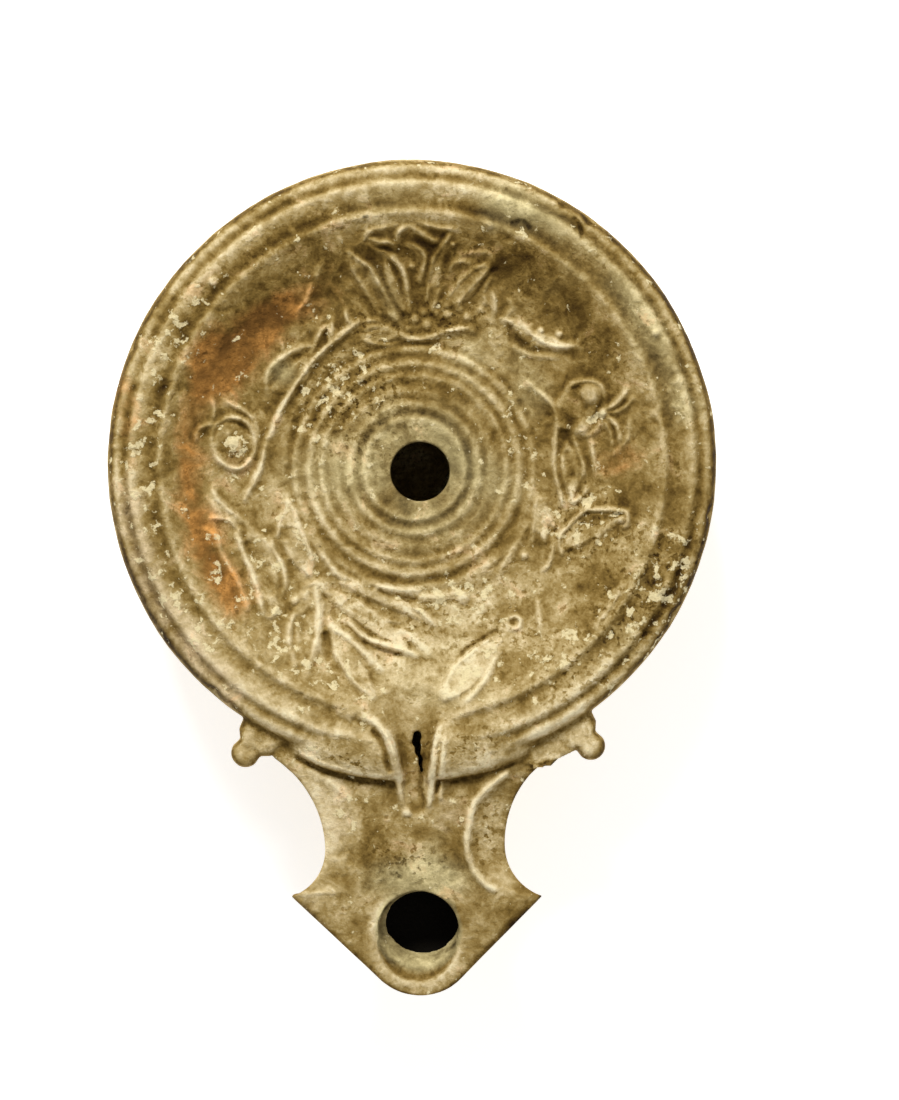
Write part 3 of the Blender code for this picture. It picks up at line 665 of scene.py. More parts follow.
@dataclass(frozen=True)
class Wreath:
    """The fruit wreath round the discus, with its palmette at the top."""

    mounds: tuple[Mound, ...] = (
        Mound((-1.9, 19.6), (-8.5, 28.9), 2.3), Mound((-0.6, 20.6), (-3.9, 29.3), 1.5, 0.6),
        Mound((2.9, 22.8), (5.2, 31.2), 1.4, 0.4), Mound((4.4, 21.6), (10.6, 27.5), 2.4, -0.3),
        Mound((-1.5, 17.8), (-6.8, 17.7), 2.0), Mound((13.4, 19.6), (22.4, 16.4), 2.2, -1.0),
        Mound((-14.0, 15.0), (-20.0, 10.0), 3.2, 0.9, 0.35), Mound((-22.6, -8.6), (-19.4, -20.8), 3.4, 0.9),
        Mound((-14.4, -15.0), (-17.4, -5.4), 3.0, 0.6), Mound((-14.4, -17.6), (-15.0, -28.2), 3.4, 0.2, 0.35),
        Mound((-11.4, -21.6), (-5.0, -31.6), 3.0, -0.5), Mound((-12.0, -17.6), (0.4, -26.4), 2.8, 0.5),
        Mound((-9.6, -16.4), (1.0, -21.4), 2.4, 0.8), Mound((4.6, -32.2), (12.0, -24.6), 4.0, 0.3, 0.42),
        Mound((21.4, 2.6), (22.1, -5.0), 3.0, 0.1), Mound((18.2, -10.6), (17.5, -5.0), 2.2),
        Mound((21.0, -11.6), (29.0, -7.4), 3.6, 1.0, 0.4), Mound((20.2, 5.4), (26.0, 9.4), 5.6, 0.6, 0.5),
        Mound((-27.2, 1.6), (-21.8, 3.4), 6.2, 0.4, 0.4), Mound((-27.8, -5.2), (-23.4, -8.2), 2.2, 0.0, 0.35),
    )
    lines: tuple[Rib | Groove, ...] = (
        Rib(((-8.7, 29.1), (-6.4, 27.4), (-5.4, 26.3), (-1.4, 19.1)), 0.75, 0.7),
        Rib(((-8.7, 29.1), (-8.3, 27.4), (-7.5, 25.7), (-4.3, 20.8)), 0.65, 0.55),
        Groove(((-7.2, 27.1), (-3.1, 20.8)), 1.3, 0.3),
        Rib(((-3.9, 29.0), (-2.6, 28.2), (-1.5, 27.0), (-0.9, 25.5), (-0.3, 20.8)), 0.75, 0.7),
        Rib(((-3.5, 28.2), (-2.6, 25.7), (-2.0, 24.6), (-1.6, 23.0)), 0.55, 0.4),
        Rib(((-5.7, 30.9), (-4.5, 30.5), (-3.1, 30.5), (-2.3, 29.8)), 0.8, 0.65),
        Rib(((-6.8, 30.5), (-6.4, 31.3), (-5.4, 32.1), (-2.3, 32.8)), 0.6, 0.4),
        Rib(((-6.0, 30.2), (-4.8, 29.4), (-3.4, 29.1), (-2.3, 28.5), (-1.4, 27.2)), 0.6, 0.45),
        Rib(((1.1, 25.3), (1.8, 27.8), (1.7, 28.7), (1.1, 29.5), (-0.5, 30.4)), 0.75, 0.7),
        Rib(((-1.9, 30.4), (-2.0, 31.5), (-1.5, 32.2), (-0.7, 32.6)), 0.65, 0.55),
        Rib(((-1.2, 30.3), (0.3, 29.4), (0.9, 28.6), (1.0, 27.6)), 0.5, 0.4),
        Rib(((0.0, 32.5), (2.9, 30.8), (3.5, 31.0)), 0.8, 0.65),
        Rib(((1.0, 33.1), (4.0, 32.4), (6.1, 32.3)), 0.6, 0.4),
        Rib(((2.5, 25.5), (2.6, 26.8), (3.1, 28.5), (4.8, 30.8), (5.1, 31.5)), 0.7, 0.65),
        Rib(((2.9, 25.9), (3.5, 27.4), (5.0, 29.7)), 0.55, 0.45),
        Rib(((2.0, 22.7), (2.3, 24.1), (3.1, 24.8), (4.2, 24.6)), 0.6, 0.5),
        Rib(((2.7, 21.1), (3.3, 22.5), (3.5, 23.6), (4.0, 24.4)), 0.6, 0.5),
        Rib(((4.2, 22.1), (6.4, 24.9), (7.8, 26.2), (8.9, 26.9)), 0.65, 0.6),
        Rib(((6.0, 21.5), (7.2, 23.3), (10.1, 26.4), (10.6, 27.4)), 0.7, 0.65),
        Rib(((8.3, 26.8), (10.6, 27.5)), 0.9, 0.6),
        Rib(((5.3, 26.8), (5.6, 27.5), (6.7, 27.9), (8.0, 27.6)), 0.7, 0.5),
        Rib(((10.1, 22.2), (9.9, 23.6), (10.2, 24.6), (10.8, 25.7)), 0.6, 0.45),
        Rib(((11.4, 21.1), (11.3, 22.7), (11.0, 24.1)), 0.6, 0.45),
        Rib(((6.4, 28.6), (7.8, 29.0), (10.6, 29.0), (11.4, 27.2)), 0.5, 0.3),
        Rib(((-1.6, 17.8), (-0.4, 17.3), (1.2, 17.2), (2.9, 17.6), (4.2, 18.2), (5.9, 18.5), (7.5, 18.7), (8.4, 18.3)),
            0.7, 0.6),
        Rib(((-6.4, 18.5), (-5.6, 18.9), (-4.2, 18.9), (-1.5, 18.1)), 0.65, 0.5),
        Rib(((-6.7, 17.3), (-5.3, 16.7), (-3.4, 16.4), (-2.0, 16.7)), 0.65, 0.5),
        Groove(((-5.8, 17.8), (-3.1, 17.6)), 1.0, 0.25),
        Rib(((12.4, 20.0), (14.0, 19.3), (16.5, 16.2)), 0.7, 0.5),
        Rib(((14.8, 19.5), (17.3, 17.3), (18.9, 16.5), (20.8, 16.2), (22.5, 16.3)), 0.9, 0.75),
        Rib(((13.2, 22.7), (13.9, 21.7), (12.7, 20.0)), 0.7, 0.35),
        Rib(((14.0, 16.2), (15.9, 15.1), (18.1, 14.8), (20.0, 14.8)), 0.6, 0.35),
        Groove(((13.2, 18.9), (16.2, 16.1)), 1.6, 0.35),
        Rib(((15.9, 11.3), (18.7, 8.9), (19.6, 7.5), (19.9, 5.6), (19.6, 1.2), (19.7, -0.7)), 0.7, 0.6),
        Rib(((19.6, 7.5), (21.6, 10.5), (23.0, 11.3), (24.6, 11.4), (25.9, 10.8), (26.4, 9.5), (26.4, 8.0)), 0.7, 0.7),
        Rib(((26.4, 7.5), (27.6, 8.0), (28.7, 8.9), (29.5, 10.2)), 0.8, 0.7),
        Rib(((26.6, 7.1), (27.9, 7.1), (29.3, 7.8), (30.4, 9.1)), 0.6, 0.5),
        Rib(((26.6, 6.7), (27.9, 5.6), (28.5, 4.2), (28.6, 2.6)), 0.75, 0.65),
        Rib(((26.1, 6.4), (27.0, 5.0), (27.5, 3.7), (27.6, 2.1)), 0.6, 0.5),
        Rib(((26.1, 6.7), (25.7, 5.0), (24.4, 4.0), (22.7, 4.0)), 0.6, 0.45),
        Rib(((30.0, 6.4), (29.8, 4.5), (29.3, 2.9), (27.4, 1.2)), 0.6, 0.4),
        Rib(((22.2, 4.0), (23.4, -0.1)), 0.6, 0.5),
        Rib(((24.6, 3.4), (25.3, -0.7)), 0.6, 0.45),
        Rib(((-7.4, 19.6), (-10.6, 17.1), (-13.8, 14.1), (-17.7, 8.3), (-19.3, 4.5), (-20.0, 3.4)), 0.75, 0.7),
        Rib(((-20.2, 2.7), (-20.7, 0.3), (-21.3, -1.5), (-23.1, -4.8)), 0.7, 0.65),
        Rib(((-10.9, 16.8), (-11.1, 19.7)), 0.6, 0.5),
        Rib(((-9.2, 21.0), (-8.9, 19.9), (-8.0, 18.9)), 0.6, 0.5),
        Rib(((-13.8, 15.1), (-13.3, 16.7), (-12.5, 18.3), (-11.6, 18.9), (-11.3, 17.6), (-11.9, 16.0), (-13.0, 15.1)),
            0.55, 0.5),
        Rib(((-14.1, 16.3), (-15.4, 16.0), (-17.0, 15.3), (-19.3, 13.5), (-19.9, 12.3), (-20.1, 10.6), (-19.7, 9.8)),
            0.8, 0.55),
        Rib(((-18.0, 17.3), (-17.8, 16.2), (-18.0, 14.9)), 0.5, 0.35),
        Rib(((-15.1, 12.5), (-17.0, 11.9), (-18.9, 10.6)), 0.5, 0.3),
        Rib(((-12.5, 27.7), (-13.0, 26.4), (-13.2, 25.3)), 0.9, 0.4),
        Rib(((-13.8, 24.7), (-14.5, 22.7), (-15.4, 21.5), (-15.9, 20.4)), 0.65, 0.45),
        Rib(((-6.4, 19.7), (-4.8, 19.8), (-4.2, 19.2)), 0.6, 0.4),
        Rib(((-27.6, 9.0), (-27.2, 7.5), (-27.4, 5.9)), 0.6, 0.45),
        Rib(((-25.7, 8.6), (-23.8, 7.7), (-22.1, 6.4), (-21.3, 4.5), (-21.3, 2.6)), 0.6, 0.5),
        Rib(((-29.7, 3.4), (-29.5, 4.7), (-27.9, 5.4), (-27.0, 5.3)), 0.6, 0.5),
        Rib(((-27.5, 4.2), (-27.5, 2.6), (-26.8, 0.8), (-25.4, -0.3), (-23.9, -0.6), (-22.6, 0.2), (-21.8, 1.8),
            (-21.7, 3.5), (-22.5, 5.4), (-23.9, 6.3), (-25.5, 6.3), (-27.0, 5.4), (-27.5, 4.2)), 0.7, 0.7),
        Rib(((-25.4, 2.2), (-24.6, 2.7), (-23.4, 2.6)), 1.6, 0.45),
        Rib(((-25.7, 3.8), (-24.4, 4.5), (-23.1, 3.8)), 1.2, 0.4),
        Rib(((-27.5, -3.4), (-26.9, -4.8), (-25.7, -6.0), (-22.6, -8.4)), 0.8, 0.6),
        Rib(((-27.8, -7.4), (-26.3, -7.4), (-24.9, -7.9), (-24.1, -9.0)), 0.7, 0.5),
        Rib(((-27.6, -4.7), (-27.0, -6.1), (-25.8, -6.9)), 1.4, 0.5),
        Rib(((-23.8, -9.1), (-23.8, -10.6), (-21.6, -16.0), (-20.6, -19.9), (-20.1, -21.1)), 0.9, 0.7),
        Rib(((-22.4, -8.7), (-19.7, -11.3), (-18.7, -12.5), (-17.9, -14.1), (-17.4, -16.2), (-17.8, -17.6)), 0.7, 0.6),
        Rib(((-28.3, -9.0), (-26.9, -10.1), (-26.2, -12.3), (-24.0, -16.2), (-22.6, -19.9)), 0.6, 0.5),
        Rib(((-21.1, -17.9), (-20.8, -19.7), (-20.0, -21.0), (-19.3, -20.9), (-18.7, -19.9), (-18.7, -18.8)), 0.6, 0.5),
        Groove(((-22.8, -10.3), (-18.7, -18.2)), 1.8, 0.45),
        Rib(((-20.8, -11.1), (-19.7, -13.0), (-18.7, -17.0)), 0.5, 0.35),
        Rib(((-17.7, -6.4), (-18.2, -8.1), (-18.5, -10.1)), 0.6, 0.5),
        Rib(((-17.2, -5.2), (-16.2, -6.6), (-15.7, -8.4), (-14.4, -11.3), (-13.9, -13.0), (-14.2, -15.0)), 0.85, 0.65),
        Rib(((-17.2, -13.1), (-16.0, -12.1), (-15.2, -11.1)), 0.6, 0.45),
        Rib(((-19.7, -10.1), (-18.7, -12.0), (-17.3, -16.0)), 0.5, 0.4),
        Groove(((-17.2, -8.6), (-17.4, -10.6)), 1.6, 0.3),
        Rib(((-14.7, -9.1), (-11.0, -14.3), (-9.8, -15.4), (-8.3, -16.2)), 0.9, 0.6),
        Rib(((-15.0, -17.1), (-12.8, -16.2), (-12.2, -17.0), (-12.5, -17.6)), 0.6, 0.5),
        Rib(((-15.8, -19.9), (-16.5, -21.4), (-16.9, -23.1), (-16.9, -24.8), (-16.0, -27.5)), 0.75, 0.6),
        Rib(((-13.3, -17.2), (-12.8, -20.9), (-13.0, -22.9), (-13.3, -24.8), (-14.5, -28.3)), 1.1, 0.8),
        Rib(((-16.2, -19.0), (-13.8, -17.2)), 0.9, 0.5),
        Groove(((-15.0, -20.4), (-15.2, -25.3)), 1.0, 0.3),
        Groove(((-11.8, -22.9), (-11.5, -24.8), (-11.8, -27.0)), 1.2, 0.4),
        Rib(((-10.8, -25.1), (-10.2, -26.5), (-8.1, -29.7), (-7.1, -30.7), (-5.4, -31.7)), 0.8, 0.6),
        Rib(((-11.0, -22.7), (-9.8, -23.3), (-8.3, -24.4), (-4.7, -27.9)), 1.1, 0.75),
        Rib(((-12.3, -17.1), (-9.8, -19.4), (-8.3, -20.4), (-6.4, -21.4), (-4.4, -22.0)), 0.7, 0.55),
        Rib(((-9.1, -21.4), (-6.4, -24.0), (-4.7, -24.7), (-1.0, -25.7), (0.5, -26.3)), 0.8, 0.75),
        Groove(((-6.9, -24.1), (-4.9, -25.2), (-1.2, -26.5)), 0.7, 0.5),
        Rib(((-7.4, -20.5), (-1.7, -21.9)), 0.5, 0.4),
        Rib(((-6.6, -16.2), (-3.2, -17.2), (0.8, -17.6)), 0.9, 0.6),
        Groove(((-4.9, -17.3), (-2.9, -18.2), (-1.0, -18.6), (1.0, -18.6)), 0.6, 0.45),
        Rib(((-3.7, -18.9), (0.5, -20.0), (2.0, -21.1), (3.0, -22.1)), 0.8, 0.5),
        Rib(((-2.4, -22.9), (-0.5, -23.6), (2.2, -25.9)), 1.2, 0.5),
        Rib(((0.0, -18.2), (2.5, -18.4), (4.9, -18.1), (6.6, -17.6)), 1.0, 0.4),
        Rib(((19.7, 3.2), (19.7, -0.7), (20.6, -4.7), (21.2, -6.1)), 0.6, 0.55),
        Rib(((20.7, 1.7), (20.8, -0.2), (21.2, -2.2), (22.1, -5.0)), 0.55, 0.5),
        Rib(((22.4, 2.7), (23.0, 1.7), (23.5, 0.3), (23.6, -1.2), (22.2, -3.9)), 0.6, 0.55),
        Rib(((24.7, 2.5), (25.0, 1.0), (25.1, -1.0)), 0.6, 0.4),
        Rib(((21.7, -4.5), (22.3, -5.2), (23.1, -4.7), (24.2, -3.4)), 0.6, 0.5),
        Groove(((21.2, 2.0), (22.0, -2.2)), 0.9, 0.3),
        Rib(((17.3, -4.8), (17.0, -6.1), (16.6, -10.6)), 0.6, 0.5),
        Rib(((17.8, -4.8), (19.3, -8.1), (20.0, -8.8)), 0.6, 0.5),
        Rib(((20.6, -12.3), (20.3, -11.1), (20.4, -10.1), (20.9, -9.2), (23.7, -6.5), (24.9, -6.3), (28.3, -6.4),
            (29.4, -6.6), (29.7, -7.5), (29.6, -8.4), (29.0, -8.6), (28.6, -7.9)), 0.6, 0.65),
        Rib(((24.4, -12.5), (25.7, -9.9), (27.1, -8.8), (28.6, -8.1)), 0.6, 0.35),
        Groove(((22.9, -8.1), (24.9, -7.6), (27.4, -7.4)), 1.6, 0.35),
        Rib(((19.7, -10.1), (19.0, -13.5), (18.0, -14.7)), 0.5, 0.4),
        Rib(((15.4, -9.5), (13.1, -13.0), (12.1, -14.9)), 1.0, 0.45),
        Rib(((13.1, -22.1), (13.4, -21.3), (14.2, -21.0), (14.9, -21.5), (14.8, -22.4), (13.8, -22.7), (13.1, -22.1)),
            0.5, 0.5),
        Groove(((12.1, -22.7), (8.2, -25.1), (6.6, -26.5)), 0.5, 0.45),
        Rib(((4.2, -32.0), (5.5, -28.7), (7.0, -27.0), (10.6, -24.2)), 0.8, 0.6),
        Rib(((7.7, -32.4), (9.2, -30.7), (10.4, -29.0), (11.9, -25.6)), 0.8, 0.6),
        Rib(((6.0, -31.7), (10.4, -25.8)), 1.2, 0.45),
        Rib(((17.3, -18.9), (17.7, -23.1)), 0.6, 0.35),
        Rib(((28.8, -16.5), (27.9, -18.6), (25.2, -22.4)), 0.6, 0.4),
        Rib(((16.9, -6.0), (16.0, -8.2), (14.4, -10.6), (12.2, -12.9), (9.6, -14.9), (6.7, -16.5)), 0.9, 0.28),
    )
    bosses: tuple[Boss, ...] = (
        Boss((0.0, 27.2), 0.45), Boss((5.6, 30.2), 0.4), Boss((-1.2, 21.5), 0.45, 0.35), Boss((1.6, 21.0), 0.6, 0.4),
        Boss((0.3, 20.0), 0.75, 0.45), Boss((3.4, 20.9), 0.4, 0.3), Boss((4.8, 20.6), 0.7, 0.45),
        Boss((6.6, 21.4), 0.45, 0.35), Boss((7.6, 20.3), 0.6, 0.4), Boss((-0.6, 18.7), 0.4, 0.3),
        Boss((2.0, 19.2), 0.7, 0.4), Boss((9.6, 21.3), 0.5, 0.3), Boss((26.3, 7.1), 0.8, 0.8),
        Boss((-14.9, -18.2), 0.8), Boss((-16.3, -18.9), 0.6), Boss((-12.9, -16.6), 0.6), Boss((28.8, -7.7), 0.7, 0.7),
        Boss((-24.6, 2.9), 1.0, 0.85), Boss((23.2, 5.4), 0.8, 0.8), Boss((15.5, -12.6), 0.6), Boss((20.3, 17.9), 0.5),
        Boss((17.7, 18.4), 0.5), Boss((-25.2, 4.2), 0.6), Boss((24.4, 9.6), 2.2, 0.95), Boss((23.2, 5.2), 1.9, 0.7),
        Boss((-24.4, 2.6), 1.9, 0.75),
    )

    def press(self, clay: Pressing) -> None:
        """Presses the whole wreath."""
        for part in (*self.mounds, *self.lines, *self.bosses):
            part.press(clay)


@dataclass(frozen=True)
class Scrolls:
    """The fine ridges and grooves beside the channel and on the nozzle's volutes."""

    lines: tuple[Rib | Groove, ...] = (
        Rib(((-9.9, -34.2), (-5.8, -35.3), (-3.7, -37.0), (-2.6, -39.5), (-2.2, -41.3)), 0.8, 0.5, 0.8, 0.3),
        Groove(((-16.5, -40.2), (-12.2, -42.1), (-8.4, -43.1), (-6.4, -43.5), (-3.5, -43.6)), 0.7, 0.7),
        Groove(((-5.7, -36.5), (-4.5, -37.8), (-3.7, -39.5), (-3.3, -41.5), (-2.8, -42.6)), 0.7, 0.6),
        Rib(((-16.1, -39.8), (-9.3, -42.4), (-6.4, -43.2), (-3.9, -43.2)), 0.6, 0.3),
        Rib(((4.6, -37.8), (4.2, -41.6), (3.9, -46.0)), 0.5, 0.45, 0.8, 0.95),
        Groove(((3.8, -38.0), (3.6, -41.6), (3.3, -45.8)), 0.45, 0.5),
        Groove(((4.5, -43.4), (6.1, -43.3), (14.8, -40.9)), 0.6, 0.6),
        Rib(((13.0, -42.7), (11.9, -43.4), (9.2, -45.9), (8.4, -47.3), (8.0, -48.8), (7.6, -51.7), (7.6, -53.3),
            (7.9, -54.6), (8.6, -56.0), (9.6, -57.1)), 0.8, 0.7),
        Rib(((8.2, -55.5), (9.0, -56.8), (10.2, -58.0), (11.4, -58.8)), 0.7, 0.6),
        Rib(((-16.8, -59.4), (-13.2, -59.1), (-10.1, -59.1)), 0.5, 0.2),
        Rib(((-14.9, -41.7), (-9.3, -45.5), (-8.4, -46.9), (-7.4, -49.6), (-7.2, -52.2)), 0.8, 0.16),
    )
    bulb: Boss = Boss((-0.8, -48.0), 0.7, 0.4)

    def press(self, clay: Pressing) -> None:
        """Presses every ridge and groove, and the bulb in the channel's end."""
        for part in (*self.lines, self.bulb):
            part.press(clay)


@dataclass(frozen=True)
class Wear:
    """What two thousand years have done to the top."""

    pits: float = 0.11
    cracks: tuple[Groove, ...] = (
        Groove(((1.1, -42.0), (1.3, -43.4), (1.1, -44.9), (1.7, -46.6), (1.4, -48.0)), 0.4, 0.5),
        Groove(((22.2, 34.0), (23.2, 32.6), (23.3, 30.7)), 0.4, 0.6),
        Groove(((13.5, 33.0), (15.2, 33.4), (16.4, 32.2)), 0.5, 0.4),
    )
    lumps: tuple[Boss, ...] = (
        Boss((10.5, 32.9), 0.7, 0.35), Boss((-16.5, 32.0), 0.6, 0.4), Boss((-27.3, 25.0), 0.7, 0.5),
        Boss((7.0, -18.4), 0.9, 0.5), Boss((33.5, 18.0), 0.5, 0.4), Boss((35.4, -16.6), 0.9, 0.4),
    )

    def press(self, clay: Pressing) -> None:
        """Presses cracks, shallow dents, crumbs and pits into the clay."""
        for part in (*self.cracks, *self.lumps):
            part.press(clay)
        coarse = smooth(-0.35, 0.45, mottle(clay.x, clay.y, 7.0, 21, 2))
        grain = mottle(clay.x, clay.y, 1.1, 13)
        clay.raised += 0.09 * mottle(clay.x, clay.y, 9.0, 11) + 0.06 * mottle(clay.x, clay.y, 2.6, 12)
        clay.raised += self.pits * coarse * smooth(0.18, 0.45, grain)
        clay.sunk += 1.5 * self.pits * coarse * smooth(-0.3, -0.62, grain)


@dataclass(frozen=True)
class Chip:
    """A place where the rim or an edge is knocked in."""

    centre: Place
    size: float
    depth: float
    spread: float = 2.5

    def knock(self, places: np.ndarray) -> None:
        """Moves the points near the chip towards the lamp's axis."""
        away = np.linalg.norm(places - np.array(self.centre), axis=1)
        near = np.nonzero(away < self.spread * self.size)[0]
        x, y, z = places[near].T
        rough = 1.0 + 0.5 * mottle(x + z, y, 0.8, 31, 2)
        depth = self.depth * rough * np.exp(-(away[near] / self.size) ** 2)
        out = np.maximum(np.hypot(x, y), 1.0)
        places[near, 0] -= depth * x / out
        places[near, 1] -= depth * y / out
        places[near, 2] -= 0.4 * depth


@dataclass(frozen=True)
class Patch:
    """A soft-edged patch of a stain, placed from above."""

    centre: Point
    size: Point
    turn: float = 0.0
    strength: float = 1.0

    def cover(self, x: np.ndarray, y: np.ndarray) -> np.ndarray:
        """How strongly the patch covers each place."""
        angle = math.radians(self.turn)
        dx, dy = x - self.centre[0], y - self.centre[1]
        u = (dx * math.cos(angle) + dy * math.sin(angle)) / self.size[0]
        v = (dy * math.cos(angle) - dx * math.sin(angle)) / self.size[1]
        return self.strength * np.exp(-(u * u + v * v) ** 1.2)


@dataclass(frozen=True)
class Arc:
    """A soft-edged arc of a stain round the lamp's middle, from one angle to another."""

    radius: float
    width: float
    angles: Point
    strength: float = 1.0
    fade: float = 6.0

    def cover(self, x: np.ndarray, y: np.ndarray) -> np.ndarray:
        """How strongly the arc covers each place."""
        low, high = self.angles
        turn = (np.degrees(np.arctan2(y, x)) - low) % 360.0
        inside = np.where(turn > 180.0 + 0.5 * (high - low), turn - 360.0, turn)
        full = high - low
        ends = smooth(-self.fade, self.fade, inside) * smooth(full + self.fade, full - self.fade, inside)
        return self.strength * ends * np.exp(-((np.hypot(x, y) - self.radius) / self.width) ** 2)


@dataclass(frozen=True)
class PatinaAndShade:
    """The stains' places, from above, with umber and pale tints that are partly painted shade and light, and the sooty
    wick, the painted shade in the holes and along the nozzle's edges, and the relief's painted shade and highlight,
    which follow the lamp's own form.
    """

    covers: tuple[tuple[StainAndShade, tuple[Patch | Arc, ...]], ...] = (
        (StainAndShade.RUST, (
            Arc(30.8, 2.4, (150.0, 222.0), 0.55), Patch((-25.6, 14.6), (4.8, 4.2), 45.0, 1.0),
            Patch((-19.6, 20.0), (4.2, 2.9), 40.0, 1.0), Patch((-27.0, -13.5), (2.8, 6.0), 25.0, 0.2),
            Patch((-13.0, 23.0), (4.0, 3.0), 30.0, 0.45), Patch((28.6, 0.5), (3.4, 3.0), 20.0, 0.4),
            Patch((-39.5, 9.0), (2.0, 8.0), 10.0, 0.4))),
        (StainAndShade.UMBER_AND_PAINTED_SHADE, (
            # The upper discus arcs and top patches are partly painted shade, darker towards the top where the walls
            # face away from the key light.
            Arc(30.3, 2.8, (25.0, 62.0), 1.0), Patch((16.5, 26.5), (5.0, 3.2), -40.0, 0.9),
            Patch((15.3, 17.0), (2.6, 1.6), -40.0, 0.8), Arc(30.0, 2.6, (62.0, 150.0), 0.55),
            Patch((-3.0, 25.0), (12.0, 6.5), 0.0, 0.35), Arc(38.5, 3.0, (318.0, 352.0), 0.8),
            Patch((25.5, -18.5), (3.6, 6.0), -35.0, 0.5), Patch((-5.0, -53.5), (3.0, 3.0), 0.0, 0.8),
            Patch((5.0, -52.6), (2.4, 3.4), 0.0, 0.55), Patch((-24.4, 1.6), (2.3, 2.0), 0.0, 0.7),
            Patch((21.6, 6.4), (1.3, 2.6), 0.0, 0.9), Patch((22.4, 10.2), (1.2, 1.4), 0.0, 0.6),
            Patch((0.0, 21.0), (13.0, 4.0), 0.0, 0.3), Patch((-15.5, 31.0), (9.0, 2.4), 25.0, 0.35),
            Patch((13.5, -62.5), (3.2, 2.2), 40.0, 0.35), Arc(41.4, 1.2, (200.0, 242.0), 0.6),
            Arc(34.8, 0.7, (282.0, 618.0), 0.42), Arc(36.0, 0.7, (60.0, 170.0), 0.4))),
        (StainAndShade.PALE_AND_PAINTED_LIGHT, (
            # The lower discus patches and the lower shoulder arc are partly painted light, lighter towards the bottom.
            Patch((5.0, -24.5), (17.0, 8.0), 0.0, 0.42), Patch((8.0, -28.6), (4.6, 2.2), 44.0, 0.4),
            Patch((-15.0, -17.0), (12.0, 9.0), 0.0, 0.32), Patch((19.0, -14.0), (8.0, 9.0), 0.0, 0.26),
            Arc(37.5, 2.2, (205.0, 262.0), 0.2), Patch((-13.0, -51.0), (4.2, 9.0), 0.0, 1.0),
            Patch((0.0, -52.0), (13.0, 12.0), 0.0, 0.06), Patch((-23.0, -39.0), (4.0, 4.0), 0.0, 0.24),
            Patch((21.5, -38.5), (4.5, 4.5), 0.0, 0.33), Patch((0.5, -57.0), (8.0, 2.2), 0.0, 0.45),
            Patch((10.6, -51.5), (2.0, 5.5), 0.0, 0.45), Patch((13.0, -57.0), (3.0, 2.0), 0.0, 0.4),
            Patch((18.2, 17.6), (3.4, 1.4), -20.0, 0.3), Patch((22.0, 18.5), (3.0, 3.0), 0.0, 0.15),
            # Painted highlight: the arc at the outer rim lightens the steep rim where it falls into shade.
            Arc(38.5, 4.0, (222.0, 318.0), 0.12), Arc(41.6, 1.3, (282.0, 618.0), 0.16))),
        (StainAndShade.LIME, (
            Patch((8.6, -28.4), (4.4, 2.0), 44.0, 0.7), Patch((5.6, -19.0), (10.0, 3.6), 8.0, 0.6),
            Patch((18.0, -26.5), (6.0, 3.0), 40.0, 0.5), Patch((24.0, -8.0), (6.0, 4.5), 20.0, 0.5),
            Patch((-10.5, 10.5), (4.2, 6.0), -40.0, 0.65), Patch((-24.5, 3.0), (1.8, 1.8), 0.0, 0.9),
            Patch((25.0, 6.0), (1.8, 1.4), 0.0, 0.8), Patch((35.5, -18.0), (3.0, 6.5), -28.0, 0.2),
            Patch((15.0, 4.0), (2.2, 9.0), 10.0, 0.35), Patch((-20.0, -14.0), (8.0, 10.0), 0.0, 0.3),
            Patch((3.4, 16.6), (1.6, 1.2), 20.0, 0.6), Patch((-8.0, -47.0), (4.0, 3.0), 0.0, 0.35),
            Arc(37.5, 3.5, (140.0, 225.0), 0.32), Arc(38.0, 4.0, (308.0, 345.0), 0.36),
            Arc(31.0, 4.0, (225.0, 262.0), 0.4))),
        (StainAndShade.GREEN, (
            Patch((1.0, -1.0), (12.0, 12.0), 0.0, 0.7), Arc(38.0, 3.4, (8.0, 75.0), 0.6),
            Patch((1.0, -57.0), (8.0, 3.2), 0.0, 0.8), Patch((-18.0, 12.5), (2.6, 2.2), 0.0, 0.6),
            Patch((17.0, 10.0), (3.4, 6.0), 20.0, 0.4))),
        (StainAndShade.BLUSH, (
            Patch((-11.5, -50.0), (3.6, 8.0), 0.0, 0.3), Patch((4.5, -48.5), (2.6, 3.0), 0.0, 0.3),
            Patch((-15.5, -62.5), (4.0, 3.0), -40.0, 0.5), Arc(39.5, 3.0, (185.0, 235.0), 0.5))),
        (StainAndShade.COARSE, (
            Patch((-8.5, 9.5), (7.0, 8.0), -40.0, 0.9), Patch((-10.0, -40.4), (5.0, 1.6), -16.0, 1.0),
            Patch((8.0, -38.6), (5.0, 2.6), 12.0, 1.0), Patch((10.2, -51.5), (1.6, 5.0), 0.0, 1.0),
            Patch((0.0, -55.5), (5.5, 2.6), 0.0, 0.8), Patch((24.0, -9.0), (6.0, 6.0), 0.0, 0.8),
            Patch((5.0, -23.0), (14.0, 8.0), 0.0, 0.6), Patch((3.0, 19.5), (8.0, 2.6), 0.0, 0.8),
            Arc(37.0, 5.0, (300.0, 345.0), 0.7))),
        (StainAndShade.SOOT_AND_PAINTED_SHADE, (
            Patch((18.4, -60.0), (1.2, 0.9), -40.0, 0.9), Patch((-6.4, 34.0), (0.5, 0.4), 0.0, 0.8))),
    )

